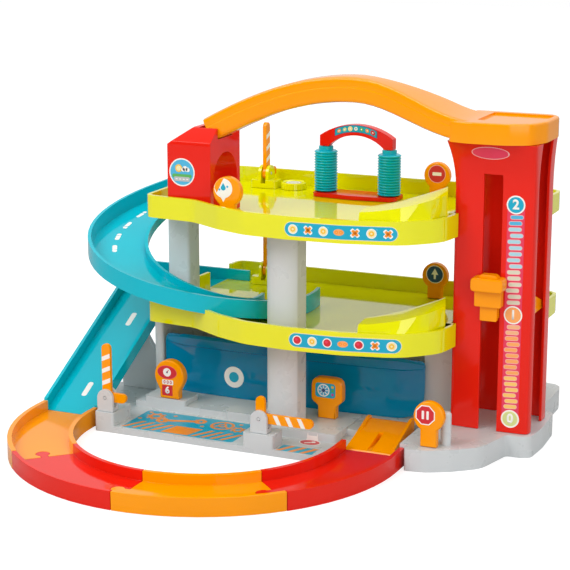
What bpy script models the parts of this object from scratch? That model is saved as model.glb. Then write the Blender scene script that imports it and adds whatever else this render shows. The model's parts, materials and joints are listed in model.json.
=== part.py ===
"""Toy garage: two parking decks, a lift tower, a spiral ramp, a straight ramp and a half ring of track.

Lengths are in metres, +Z is up and the front of the garage looks along -Y.
The origin lies on the underside of the base plate, which stands on the floor.
"""

import math

import bmesh
import bpy
from mathutils import Matrix, Vector

# Clearances
GAP = 0.0003  # between two pieces that touch
RUNNING = 0.0005  # on each side of a piece that turns or slides

# Levels
LEVEL_1 = 0.114  # underside of the first deck
LEVEL_PITCH = 0.120  # from one deck to the next
DECK_FLOOR = 0.003
DECK_RIM = 0.025  # height of the rim, floor included
DECK_RIM_BACK = 0.0205  # and where it has come down at the back
DECK_RIM_FALL_Y = 0.060  # where the rim starts to come down
DECK_RIM_WALL = 0.004

# Outline of both decks
DECK_LEFT = -0.1465
DECK_BACK = 0.188
DECK_RIGHT = 0.2665
DECK_CORNER = 0.022
DECK_FRONT = (
    (-0.083, -0.062, 0.030),
    (-0.042, -0.086, 0.060),
    (-0.004, -0.101, 0.060),
    (0.048, -0.105, 0.080),
    (0.107, -0.101, 0.080),
    (0.170, -0.086, 0.060),
    (0.203, -0.052, 0.040),
)  # X, Y and corner radius of each bend of the front edge
DECK_FRONT_LEFT_Y = -0.056
DECK_NOSE_X = 0.208  # where the rim ends in front of the tower

# Lift curb, a wedge inside the rim that rises towards the lift
CURB_LEFT = 0.124
CURB_LOW = 0.0095  # crest above the rim, at the left end
CURB_HIGH = 0.027  # and at the lift
CURB_BACK_LEFT_Y = -0.066  # back of the crest at the left end
CURB_BACK_RIGHT_Y = -0.0145  # and at the lift
CURB_NOSE_INSET = 0.0072  # from the end of the deck's nose, and from the tower
CURB_NOSE_LENGTH = 0.018  # of the curb's end in front of the tower
CURB_INSET = 0.0045  # from the deck's front edge
CURB_SINK = 0.0012
CURB_SWELL = 1.5  # how late the crest rises
CURB_BANDS = 8

# Base plate
SLAB = 0.007
PLINTH = 0.024
BASE_FRONT = -0.1245
BASE_BACK = 0.184
BASE_SIDE = 0.0075  # from the straight ramp to the base's left edge
APRON_LEFT = -0.232  # the foot that reaches out below the straight ramp
APRON_FRONT = -0.052
APRON_BACK = 0.036
PLINTH_FRONT = (
    (0.0045, -0.110, 0.003),
    (0.0275, -0.107, 0.030),
    (0.0510, -0.094, 0.030),
    (0.0770, -0.072, 0.030),
    (0.0890, -0.022, 0.006),
    (0.1040, -0.022, 0.003),
    (0.1150, -0.018, 0.010),
    (0.1175, 0.020, 0.030),
    (0.1150, 0.074, 0.014),
    (0.0925, 0.084, 0.006),
    (0.0925, 0.098, 0.006),
    (0.0965, 0.106, 0.008),
    (0.0955, 0.184, 0.020),
)  # the lobed outline round to the back: X from the track's right end, Y and corner radius
WORKSHOP_FLOOR = 0.0145
WORKSHOP_FRONT = -0.046
PUMP_STEP = 0.021
PUMP_STEP_LEFT = 0.0215  # from the base's left edge
PUMP_STEP_WIDTH = 0.052
PUMP_STEP_DEPTH = 0.034
CENTRE_STEP = 0.0165
CENTRE_STEP_LEFT = -0.052
CENTRE_STEP_FRONT = -0.0485
CENTRE_STEP_RIGHT = 0.094
BOLLARD_RADIUS = 0.0055
BOLLARD_HEIGHT = 0.036
BOLLARD_X = 0.2195
BOLLARD_Y = -0.078

# Lift tower
TOWER_LEFT = 0.2015
TOWER_WIDTH = 0.0885
TOWER_FRONT = -0.015
TOWER_DEPTH = 0.072
TOWER_TOP = 0.3365
TOWER_WALL = 0.003
TOWER_CORNER = 0.005
FRONT_RETURN = 0.012  # how far the side walls of the front shell run back
REAR_RETURN = 0.020
FLARE_START = 0.285
FLARE_LEFT = 0.007
FLARE_RIGHT = 0.003
FLARE_FRONT = 0.011
SLOT_LEFT = 0.2345
SLOT_WIDTH = 0.0205
SLOT_TOP = 0.303

# Lift carriage
LIFT_FLOOR = 0.155  # top of the platform at rest
LIFT_DOWN = 0.119
LIFT_UP = 0.083
PLATFORM_THICK = 0.004
PLATFORM_CHEEK = 0.024  # height of the tapered guard on the right
PLATFORM_SIDE_CLEARANCE = 0.002
KNOB_WIDTH = 0.0355
KNOB_HEIGHT = 0.015
KNOB_DEPTH = 0.016
KNOB_LOW = 0.180
BRACKET_WIDTH = 0.029
BRACKET_LOW = 0.163
BRACKET_DEPTH = 0.009
TONGUE_WIDTH = 0.0185
TONGUE_LOW = 0.147
TONGUE_DEPTH = 0.005
NECK_LOW = 0.150
NECK_HIGH = 0.190

# Carrying handle with the landing pad
PAD_LEFT = 0.199
PAD_RIGHT = 0.2955
PAD_FRONT = -0.032
PAD_BACK = 0.060
PAD_BOW = 0.007  # how far the middle of the front edge stands out
PAD_THICK = 0.022
PAD_RECESS = 0.002
PAD_RIM = 0.005
PAD_CORNER = 0.018
PAD_NOSE = 0.034  # how far the rounding at the front on the right runs
BEAM_DEPTH = 0.036
BEAM_HEIGHT = 0.027
BEAM_CREST_X = 0.090
BEAM_CREST = 0.0615  # top of the beam above the tower
BEAM_LEFT_X = -0.107  # where the curve of the beam would end
BEAM_END_X = -0.080  # where the beam ends, in the gatehouse's roof
BEAM_LEFT_DROP = 0.068  # from the crest to the left end
BEAM_RIGHT_X = 0.225
BEAM_GROOVE = 0.0012
BEAM_SPREAD_X = 0.100  # where the back of the beam starts to spread to the pad's depth
BEAM_SPREAD_END = 0.180  # and where it has reached it

# Gatehouse on the second deck
GATE_LEFT = -0.119
GATE_WIDTH = 0.053
GATE_FRONT = -0.0525
GATE_DEPTH = 0.0755
GATE_HEIGHT = 0.098
GATE_SLOPE_HEIGHT = 0.0155  # the slanting face above the front
GATE_SLOPE_DEPTH = 0.017
GATE_HIP_WIDTH = 0.024  # the slope that takes the roof's left edge away
GATE_HIP_HEIGHT = 0.018
GATE_ARCH_HEIGHT = 0.069
GATE_ARCH_SIDE = 0.008  # from each edge of the side face to the arch

# Spiral ramp
SPIRAL_X = -0.1245
SPIRAL_Y = 0.050
SPIRAL_OUTER = 0.137
SPIRAL_WIDTH = 0.070
SPIRAL_START = math.radians(95)
SPIRAL_FALL = math.radians(112)  # where the slope starts
SPIRAL_FOOT = math.radians(351)  # where the slope ends
SPIRAL_END = math.radians(373)
SPIRAL_EASE = 1.3  # the slope runs out towards the foot
SPIRAL_STEPS = 46
RAMP_FLOOR = 0.003
RAMP_WALL = 0.004
RAMP_LIP = 0.013  # wall above the straight ramp's floor
SPIRAL_LIP_INNER = 0.008
SPIRAL_LIP_OUTER = 0.0175
SPIRAL_TONGUE = 0.028

# Straight ramp
LANDING_FRONT = 0.094
LANDING_BACK = 0.158
LANDING_REACH = 0.030  # how far the landing's back wall reaches over the deck
STRAIGHT_FOOT_Y = -0.1045
STRAIGHT_TOE = 0.0095

# Track
TRACK_X = -0.038
TRACK_Y = -0.118
TRACK_OUTER = 0.2175
TRACK_WIDTH = 0.0705
TRACK_HEIGHT = 0.020
TRACK_FLOOR = 0.009
TRACK_WALL = 0.005
TRACK_SEAMS = (180, 225, 270, 317, 360)  # degrees round the ring
TRACK_STEPS = 10
TRACK_RIGHT_END_Y = -0.0955
KNOB_JOINT_RADIUS = 0.0075
KNOB_JOINT_NECK = 0.008
KNOB_JOINT_REACH = 0.011

# Exit ramp
EXIT_SIDE = 0.0025  # from the track's left edge
EXIT_WIDTH = 0.054
EXIT_TOP_Y = -0.024
EXIT_LIP = 0.006
EXIT_WALL = 0.004

# Walls and pillars
SIDE_WALL = 0.0115
SIDE_WALL_LEFT_X = -0.1715
SIDE_WALL_FRONT = 0.0075
FLANGE = 0.004  # the ledge on which the first deck rests
FLANGE_RIGHT = -0.130
WALKWAY_LEFT = -0.168
REAR_WALL = 0.004
RIGHT_WALL_LEFT = 0.158
RIGHT_WALL_Y = 0.024
RAMP_REST_Y = 0.020
RAMP_REST_THICK = 0.008
RAMP_REST_REACH = 0.058
PILLAR_X = 0.0255
PILLAR_WIDTH = 0.039
PILLAR_FRONT = -0.072
PILLAR_DEPTH = 0.028
REAR_COLUMN_WIDTH = 0.0275
REAR_COLUMN_DEPTH = 0.028
REAR_COLUMN_LEFT_X = -0.1415
REAR_COLUMN_LEFT_Y = -0.012
REAR_COLUMN_RIGHT_X = 0.222
REAR_COLUMN_RIGHT_Y = 0.105

# Workshop window
WINDOW_LEFT = -0.157
WINDOW_RIGHT = 0.162
WINDOW_FRONT = 0.006
WINDOW_LEFT_SETBACK = 0.003
WINDOW_RIGHT_SETBACK = 0.010
WINDOW_TOP = 0.083
WINDOW_THICK = 0.0025
WINDOW_CORNER_LEFT = 0.040
WINDOW_CORNER_RIGHT = 0.045
BROW = 0.015  # height of the raised band along the window's top
BROW_RISE = 0.003
WINDOW_BANDS = 14

# Barriers
ARM_LENGTH = 0.0615  # from the pin
ARM_WIDTH = 0.0108
ARM_THICK = 0.0048
ARM_GRIP = 0.0245  # length of the stub handle, from the pin
ARM_HUB = 0.0075
CHEEK = 0.0038
POST_WIDTH = 0.0195
PIN_HEIGHT = 0.0115  # of the barrier's pin above what its post stands on
PIN_RADIUS = 0.0018
BLOCK_TOP = 0.0225
LEFT_BLOCK_WIDTH = 0.0235
LEFT_BLOCK_DEPTH = 0.042
RIGHT_BLOCK_LEFT = 0.005
RIGHT_BLOCK_WIDTH = 0.036
RIGHT_BLOCK_DEPTH = 0.027
RIGHT_POST_INSET = 0.008
DECK_BARRIER_X = -0.093
DECK_BARRIER_Y = 0.154
DECK_BARRIER_FOOT = 0.0055
DECK_FOOT_LENGTH = 0.033
DECK_FOOT_DEPTH = 0.022
DECK_FOOT_HEIGHT = 0.0095
GROUND_BARRIER_FOOT = 0.004

# Signs
SIGN_THICK = 0.009
SIGN_RADIUS = 0.0158
REAR_SIGN_X = 0.1215
REAR_SIGN_Y = 0.165
REAR_SIGN_STEM = 0.0115
STOP_SIGN_X = 0.0265  # from the track's right end
STOP_SIGN_Y = -0.092
STOP_SIGN_STEM = 0.016
WASH_SIGN_X = -0.0405
WASH_SIGN_Y = -0.0605
WASH_SIGN_STEM = 0.017
PUMP_SIDE = 0.0525  # from the base's left edge to the pump's middle
PUMP_FRONT = -0.0455
PUMP_THICK = 0.011
PUMP_HEAD = 0.0188
PUMP_FOOT = 0.012
PUMP_HEIGHT = 0.0455
PANEL_X = 0.0625
PANEL_FRONT = -0.0275
PANEL_THICK = 0.011
PANEL_HALF = 0.0185
PANEL_FOOT = 0.0105
PANEL_HEIGHT = 0.0465
SIGN_STEM = 0.018
SIGN_CHAMFER = 0.0012

# Car wash
WASH_LEFT = -0.019
WASH_WIDTH = 0.104
WASH_FRONT = 0.118
WASH_DEPTH = 0.032
WASH_SLAB = 0.005
BRUSH_RADIUS = 0.0138
BRUSH_HEIGHT = 0.048
BRUSH_RINGS = 15
BRUSH_RING_DEPTH = 0.0018
BRUSH_COLLAR_RADIUS = 0.0085
BRUSH_COLLAR = 0.005
BRUSH_SPACING = 0.0795
SPINDLE_RADIUS = 0.0025
ARCH_THICK = 0.012
ARCH_FOOT = 0.0115
ARCH_RISE = 0.0145
ARCH_DROP = 0.0125
ARCH_BAND = 0.0125  # at the crown
WASH_BOW = 0.005

# Service disc on the second deck
DISC_X = -0.0585
DISC_Y = 0.157
DISC_RADIUS = 0.0155
DISC_HEIGHT = 0.008

LEVEL_2 = LEVEL_1 + LEVEL_PITCH
FLOOR_1 = LEVEL_1 + DECK_FLOOR
FLOOR_2 = LEVEL_2 + DECK_FLOOR
TOWER_RIGHT = TOWER_LEFT + TOWER_WIDTH
TOWER_BACK = TOWER_FRONT + TOWER_DEPTH
RAMP_LEFT = TRACK_X - TRACK_OUTER
RAMP_RIGHT = RAMP_LEFT + TRACK_WIDTH
BASE_LEFT = RAMP_RIGHT + BASE_SIDE
TRACK_END_LEFT = TRACK_X + TRACK_OUTER - TRACK_WIDTH
TRACK_END_RIGHT = TRACK_X + TRACK_OUTER
PLINTH_LEFT = TRACK_END_RIGHT - TRACK_WALL
EXIT_LEFT = TRACK_END_LEFT + EXIT_SIDE
SPIRAL_INNER = SPIRAL_OUTER - SPIRAL_WIDTH
PIN_HOLE = PIN_RADIUS + GAP


def material(name, colour, roughness):
    """A moulded plastic, its colour given as sRGB hex."""
    made = bpy.data.materials.new(name)
    made.use_nodes = True
    shader = made.node_tree.nodes["Principled BSDF"]
    channels = [int(colour[i : i + 2], 16) / 255 for i in (0, 2, 4)]
    linear = [((c + 0.055) / 1.055) ** 2.4 if c > 0.04045 else c / 12.92 for c in channels]
    shader.inputs["Base Color"].default_value = (*linear, 1.0)
    shader.inputs["Roughness"].default_value = roughness
    shader.inputs["Metallic"].default_value = 0.0
    made.diffuse_color = (*linear, 1.0)
    return made


def make_materials():
    return {
        "grey": material("light_grey_plastic", "C8CCCB", 0.35),
        "lime": material("lime_plastic", "D9E000", 0.2),
        "teal": material("teal_plastic", "00B4CA", 0.25),
        "red": material("red_plastic", "E02B1E", 0.3),
        "orange": material("orange_plastic", "F99A10", 0.3),
        "clear_blue": material("clear_blue_plastic", "0A5575", 0.1),
    }


def finish(name, bm, paint, origin=(0.0, 0.0, 0.0)):
    """Turns a bmesh in world space into an object whose origin is at the given point."""
    bmesh.ops.recalc_face_normals(bm, faces=bm.faces[:])
    bmesh.ops.translate(bm, verts=bm.verts[:], vec=-Vector(origin))
    mesh = bpy.data.meshes.new(name)
    bm.to_mesh(mesh)
    bm.free()
    mesh.materials.append(paint)
    mesh.shade_smooth()
    mesh.set_sharp_from_angle(angle=math.radians(35))
    made = bpy.data.objects.new(name, mesh)
    made.location = origin
    bpy.context.scene.collection.objects.link(made)
    return made


def boolean(target, operation, bm, label):
    """Joins a helper shape to the target, or cuts it away."""
    helper = finish(f"{target.name}_{label}", bm, target.data.materials[0])
    helper.hide_render = True
    helper.display_type = "WIRE"
    modifier = target.modifiers.new(label, "BOOLEAN")
    modifier.operation = operation
    modifier.solver = "EXACT"
    modifier.object = helper
    return helper


def join(target, bm, label):
    return boolean(target, "UNION", bm, label)


def cut(target, bm, label):
    return boolean(target, "DIFFERENCE", bm, label)


def new_verts(made):
    return [item for item in made["geom"] if isinstance(item, bmesh.types.BMVert)]


def extrude(points, vector):
    """A closed solid: the outline through the points, pushed along the vector."""
    bm = bmesh.new()
    face = bm.faces.new([bm.verts.new(point) for point in points])
    made = bmesh.ops.extrude_face_region(bm, geom=[face])
    bmesh.ops.translate(bm, verts=new_verts(made), vec=vector)
    bmesh.ops.recalc_face_normals(bm, faces=bm.faces[:])
    return bm


def prism(outline, low, high):
    """An outline in plan, raised from low to high."""
    return extrude([(x, y, low) for x, y in outline], (0, 0, high - low))


def plate(outline, front, back):
    """An outline of X and Z, pushed from front to back along Y."""
    return extrude([(x, front, z) for x, z in outline], (0, back - front, 0))


def panel(outline, left, right):
    """An outline of Y and Z, pushed from left to right along X."""
    return extrude([(left, y, z) for y, z in outline], (right - left, 0, 0))


def box(low, high):
    corners = [(low[0], low[1]), (high[0], low[1]), (high[0], high[1]), (low[0], high[1])]
    return prism(corners, low[2], high[2])


def arc(centre, radius, start, end, steps):
    """Points on a circle, from one angle to another in radians."""
    angles = [start + (end - start) * i / steps for i in range(steps + 1)]
    return [(centre[0] + radius * math.cos(a), centre[1] + radius * math.sin(a)) for a in angles]


def rounded(corners, steps=3):
    """An outline through the corners, each given as X, Y and radius, with its bends turned into arcs."""
    points = []
    for index, (x, y, radius) in enumerate(corners):
        here = Vector((x, y))
        before = Vector(corners[index - 1][:2]) - here
        after = Vector(corners[(index + 1) % len(corners)][:2]) - here
        bend = before.angle(after)
        reach = radius / math.tan(bend / 2)
        reach = min(reach, 0.48 * before.length, 0.48 * after.length)
        if reach < 1e-5:
            points.append((x, y))
            continue
        start = here + before.normalized() * reach
        end = here + after.normalized() * reach
        for i in range(steps + 1):
            t = i / steps
            point = start.lerp(here, t).lerp(here.lerp(end, t), t)
            points.append(tuple(point))
    return points


def rounded_box(left, front, right, back, radius, steps=3):
    corners = [(left, front), (right, front), (right, back), (left, back)]
    return rounded([(x, y, radius) for x, y in corners], steps)


def cylinder(x, y, radius, low, high, segments=20):
    bm = bmesh.new()
    bmesh.ops.create_circle(
        bm, cap_ends=True, radius=radius, segments=segments, matrix=Matrix.Translation((x, y, low))
    )
    made = bmesh.ops.extrude_face_region(bm, geom=bm.faces[:])
    bmesh.ops.translate(bm, verts=new_verts(made), vec=(0, 0, high - low))
    bmesh.ops.recalc_face_normals(bm, faces=bm.faces[:])
    return bm


def rod(centre, direction, radius, length, segments=16):
    """A cylinder about a centre, along X or Y."""
    bm = cylinder(0, 0, radius, -length / 2, length / 2, segments)
    turn = Matrix.Rotation(math.pi / 2, 4, "Y" if direction == "X" else "X")
    bmesh.ops.transform(bm, matrix=Matrix.Translation(centre) @ turn, verts=bm.verts[:])
    return bm


def turned(profile, x, y, segments=20):
    """A profile of radius and height, from the top down, turned about a vertical axis."""
    bm = bmesh.new()
    verts = [bm.verts.new((x + radius, y, z)) for radius, z in profile]
    edges = [bm.edges.new(pair) for pair in zip(verts, verts[1:] + verts[:1])]
    bmesh.ops.spin(
        bm, geom=verts + edges, cent=(x, y, 0), axis=(0, 0, 1), dvec=(0, 0, 0),
        angle=2 * math.pi, steps=segments, use_merge=True, use_duplicate=False,
    )
    bmesh.ops.remove_doubles(bm, verts=bm.verts[:], dist=1e-6)
    bmesh.ops.recalc_face_normals(bm, faces=bm.faces[:])
    return bm


def loft(sections):
    """A solid through closed sections with equal numbers of points."""
    bm = bmesh.new()
    loops = [[bm.verts.new(point) for point in section] for section in sections]
    for low, high in zip(loops, loops[1:]):
        for i in range(len(low)):
            k = (i + 1) % len(low)
            bm.faces.new((low[i], low[k], high[k], high[i]))
    bm.faces.new(loops[0])
    bm.faces.new(loops[-1])
    bmesh.ops.recalc_face_normals(bm, faces=bm.faces[:])
    return bm


def channel(inner, outer, floor_thick, wall, lip, outer_lip=None):
    """The section of a lane: a floor between two walls, as radius and height over the floor's top."""
    outer_lip = lip if outer_lip is None else outer_lip
    return [
        (inner, -floor_thick),
        (outer, -floor_thick),
        (outer, outer_lip),
        (outer - wall, outer_lip),
        (outer - wall, 0.0),
        (inner + wall, 0.0),
        (inner + wall, lip),
        (inner, lip),
    ]


def swept(section, centre, start, end, steps, height):
    """A section of radius and height carried round a centre; height gives each angle's own level."""
    rings = []
    for i in range(steps + 1):
        angle = start + (end - start) * i / steps
        x = math.cos(angle)
        y = math.sin(angle)
        rings.append([(centre[0] + r * x, centre[1] + r * y, z + height(angle)) for r, z in section])
    return loft(rings)


def deck_outline():
    corners = [(DECK_LEFT, DECK_FRONT_LEFT_Y, 0.012), *DECK_FRONT]
    corners += [
        (DECK_NOSE_X, TOWER_FRONT - GAP, 0.003),
        (TOWER_LEFT - GAP, TOWER_FRONT - GAP, 0.0),
        (TOWER_LEFT - GAP, TOWER_BACK + GAP, 0.0),
        (DECK_RIGHT, TOWER_BACK + GAP, 0.004),
        (DECK_RIGHT, DECK_BACK, DECK_CORNER),
        (DECK_LEFT, DECK_BACK, 0.012),
    ]
    return rounded(corners)


def make_deck(name, level, paint):
    """A tray: a floor with a rim round it, open towards the lift."""
    bm = prism(deck_outline(), level, level + DECK_RIM)
    top = max(bm.faces, key=lambda face: face.calc_center_median().z)
    bmesh.ops.inset_region(bm, faces=[top], thickness=DECK_RIM_WALL, use_even_offset=True)
    bmesh.ops.inset_region(bm, faces=[top], thickness=0.0, depth=DECK_FLOOR - DECK_RIM, use_even_offset=True)
    deck = finish(name, bm, paint)
    lift_side = TOWER_FRONT + FRONT_RETURN
    opening = box(
        (TOWER_LEFT - 2 * DECK_RIM_WALL, lift_side, level + DECK_FLOOR + GAP),
        (TOWER_LEFT + DECK_RIM_WALL, TOWER_BACK - REAR_RETURN, level + 2 * DECK_RIM),
    )
    cut(deck, opening, "lift_opening")
    rim = level + DECK_RIM
    fall = [
        (DECK_RIM_FALL_Y, rim + GAP),
        (DECK_BACK + DECK_RIM_WALL, level + DECK_RIM_BACK),
        (DECK_BACK + DECK_RIM_WALL, rim + DECK_RIM_WALL),
        (DECK_RIM_FALL_Y, rim + DECK_RIM_WALL),
    ]
    cut(deck, panel(fall, DECK_LEFT - DECK_RIM_WALL, DECK_RIGHT + DECK_RIM_WALL), "rim_fall")
    return deck


def deck_front_y(x):
    """The deck's front edge at a place along it, between the bends."""
    for (x0, y0, _), (x1, y1, _) in zip(DECK_FRONT, DECK_FRONT[1:]):
        if x <= x1:
            return y0 + (y1 - y0) * (x - x0) / (x1 - x0)
    return DECK_FRONT[-1][1]


def curb_section(share, level):
    """The curb across the deck: a steep face inside the rim, and a top that rises to the back and the tower."""
    front_x = CURB_LEFT + (DECK_NOSE_X - CURB_NOSE_INSET - CURB_LEFT) * share
    front_y = deck_front_y(front_x) + CURB_INSET if share < 1 else TOWER_FRONT - CURB_NOSE_LENGTH
    back_x = CURB_LEFT + (TOWER_LEFT - CURB_NOSE_INSET - CURB_LEFT) * share
    back_y = CURB_BACK_LEFT_Y + (CURB_BACK_RIGHT_Y - CURB_BACK_LEFT_Y) * share
    crest = CURB_LOW + (CURB_HIGH - CURB_LOW) * share ** CURB_SWELL
    rim = level + DECK_RIM
    low = level + DECK_FLOOR / 2
    top = rim + crest
    profile = ((0.0, low), (0.0, rim - CURB_SINK), (0.1, rim + 0.8 * crest), (0.8, top), (1.0, top), (1.0, low))
    return [(front_x + (back_x - front_x) * f, front_y + (back_y - front_y) * f, z) for f, z in profile]


def add_curb(deck, level):
    sections = [curb_section(i / CURB_BANDS, level) for i in range(CURB_BANDS + 1)]
    join(deck, loft(sections), "curb")


def spiral_floor(angle):
    """Height of the spiral ramp's floor at an angle: level at the top, easing out at the foot."""
    foot = FLOOR_1 + GAP + RAMP_FLOOR
    share = (angle - SPIRAL_FALL) / (SPIRAL_FOOT - SPIRAL_FALL)
    share = min(max(share, 0.0), 1.0)
    fallen = 1 - (1 - share) ** SPIRAL_EASE
    return FLOOR_2 - (FLOOR_2 - foot) * fallen


def spiral_sweep(section, start=SPIRAL_START, end=SPIRAL_END):
    return swept(section, (SPIRAL_X, SPIRAL_Y), start, end, SPIRAL_STEPS, spiral_floor)


def make_spiral_ramp(paints):
    section = channel(SPIRAL_INNER, SPIRAL_OUTER, RAMP_FLOOR, RAMP_WALL, SPIRAL_LIP_INNER, SPIRAL_LIP_OUTER)
    ramp = finish("spiral_ramp", spiral_sweep(section), paints["teal"])
    edge = DECK_LEFT - GAP
    tongue_y = SPIRAL_Y + SPIRAL_INNER + 2 * RAMP_WALL
    under = LEVEL_2 - GAP
    start_cut = box((edge, SPIRAL_Y, under), (SPIRAL_X + SPIRAL_OUTER, DECK_BACK + 0.05, LEVEL_2 + 0.05))
    cut(ramp, start_cut, "deck_edge")
    reach = SPIRAL_TONGUE / 2
    tongue = [
        (edge - reach, under - RAMP_FLOOR / 2),
        (edge - reach / 2, under - RAMP_FLOOR),
        (edge + reach, under - RAMP_FLOOR),
        (edge + reach, under),
        (edge - GAP, under),
        (edge - GAP, LEVEL_2 + RAMP_FLOOR / 2),
        (edge - reach, LEVEL_2 + RAMP_FLOOR / 2),
    ]
    join(ramp, plate(tongue, tongue_y, tongue_y + SPIRAL_TONGUE), "tongue")
    return ramp


def spiral_clearance(lift):
    """The room that the spiral ramp takes, for cutting the rims that it crosses."""
    inner = SPIRAL_INNER - GAP
    outer = SPIRAL_OUTER + GAP
    low = -RAMP_FLOOR - GAP / 2
    section = [(inner, low), (outer, low), (outer, lift), (inner, lift)]
    return spiral_sweep(section, end=SPIRAL_END + GAP / SPIRAL_INNER)


def make_decks(paints):
    deck_1 = make_deck("deck_level_1", LEVEL_1, paints["lime"])
    add_curb(deck_1, LEVEL_1)
    cut(deck_1, spiral_clearance(0.05), "spiral_notch")
    landing = box(
        (DECK_LEFT - DECK_RIM_WALL, LANDING_FRONT + RAMP_WALL, FLOOR_1 + GAP),
        (DECK_LEFT + 2 * DECK_RIM_WALL, LANDING_BACK + GAP, LEVEL_1 + 2 * DECK_RIM),
    )
    cut(deck_1, landing, "ramp_opening")
    deck_2 = make_deck("deck_level_2", LEVEL_2, paints["lime"])
    add_curb(deck_2, LEVEL_2)
    lane = box(
        (DECK_LEFT - DECK_RIM_WALL, SPIRAL_Y + SPIRAL_INNER + RAMP_WALL, FLOOR_2 + GAP),
        (DECK_LEFT + 2 * DECK_RIM_WALL, DECK_BACK - DECK_RIM_WALL, LEVEL_2 + 2 * DECK_RIM),
    )
    cut(deck_2, lane, "ramp_opening")


def straight_floor(y):
    """Height of the straight ramp's floor at a place between its foot and the landing."""
    share = (y - STRAIGHT_FOOT_Y) / (LANDING_FRONT - STRAIGHT_FOOT_Y)
    return STRAIGHT_TOE + share * (FLOOR_1 - STRAIGHT_TOE)


def make_straight_ramp(paints):
    section = channel(RAMP_LEFT, RAMP_RIGHT, RAMP_FLOOR, RAMP_WALL, RAMP_LIP)
    toe_back = STRAIGHT_FOOT_Y + 0.006

    def across(y, bottom):
        floor = straight_floor(y)
        return [(x, y, bottom if z < 0 else floor + z) for x, z in section]

    rings = [
        across(STRAIGHT_FOOT_Y, 0.0),
        across(toe_back, 0.0),
        across(toe_back + 0.004, straight_floor(toe_back + 0.004) - RAMP_FLOOR),
        across(LANDING_FRONT, FLOOR_1 - RAMP_FLOOR),
        across(LANDING_FRONT + 2 * RAMP_WALL, FLOOR_1 - RAMP_FLOOR),
    ]
    for i in (3, 4):
        rings[i] = [(x, y, FLOOR_1 + z) for (x, y, _), (_, z) in zip(rings[i], section)]
    ramp = finish("straight_ramp", loft(rings), paints["teal"])
    right = DECK_LEFT - GAP
    low = FLOOR_1 - RAMP_FLOOR
    high = FLOOR_1 + RAMP_LIP
    join(ramp, box((RAMP_LEFT, LANDING_FRONT, low), (right, LANDING_BACK, FLOOR_1)), "landing")
    front = LANDING_FRONT + RAMP_WALL
    back = LANDING_BACK - RAMP_WALL
    clear = box((RAMP_LEFT + RAMP_WALL, front, FLOOR_1), (right + RAMP_WALL, back, high + RAMP_LIP))
    join(ramp, box((RAMP_RIGHT - RAMP_WALL, LANDING_FRONT, low), (right, front, high)), "front_wall")
    join(ramp, box((RAMP_LEFT, back, low), (right, LANDING_BACK, high)), "back_wall")
    join(ramp, box((RAMP_LEFT, LANDING_FRONT, low), (RAMP_LEFT + RAMP_WALL, LANDING_BACK, high)), "left_wall")
    cut(ramp, clear, "lane")
    arm = box((right - LANDING_REACH / 2, back, FLOOR_1 + GAP), (right + LANDING_REACH, LANDING_BACK, high))
    join(ramp, arm, "back_arm")
    return ramp


def plinth_front():
    return [(TRACK_END_RIGHT + x, y, radius) for x, y, radius in PLINTH_FRONT]


def base_outline():
    corners = [
        (BASE_LEFT, BASE_FRONT, 0.003),
        (TRACK_END_LEFT - 4 * GAP, BASE_FRONT, 0.002),
        (TRACK_END_LEFT - 4 * GAP, TRACK_RIGHT_END_Y + GAP, 0.0),
        (TRACK_END_RIGHT + PLINTH_FRONT[0][0], TRACK_RIGHT_END_Y + GAP, 0.0),
        *plinth_front(),
        (BASE_LEFT, BASE_BACK, 0.010),
        (BASE_LEFT, APRON_BACK, 0.004),
        (APRON_LEFT, APRON_BACK, 0.006),
        (APRON_LEFT, APRON_FRONT + 0.020, 0.010),
        (BASE_LEFT, APRON_FRONT, 0.010),
    ]
    return rounded(corners)


def plinth_outline():
    corners = [
        *plinth_front(),
        (PLINTH_LEFT + 0.010, BASE_BACK, 0.004),
        (PLINTH_LEFT + 0.010, RIGHT_WALL_Y + REAR_WALL + 6 * GAP, 0.0),
        (PLINTH_LEFT, RIGHT_WALL_Y - 6 * GAP, 0.0),
        (PLINTH_LEFT, TRACK_RIGHT_END_Y + GAP, 0.0),
        (TRACK_END_RIGHT + PLINTH_FRONT[0][0], TRACK_RIGHT_END_Y + GAP, 0.0),
    ]
    return rounded(corners)


def window_y(x):
    """Plan of the bowed window: its outer face at a place along it."""
    if x < 0:
        return WINDOW_FRONT + WINDOW_LEFT_SETBACK * (x / WINDOW_LEFT) ** 2
    return WINDOW_FRONT + WINDOW_RIGHT_SETBACK * (x / WINDOW_RIGHT) ** 2


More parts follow.
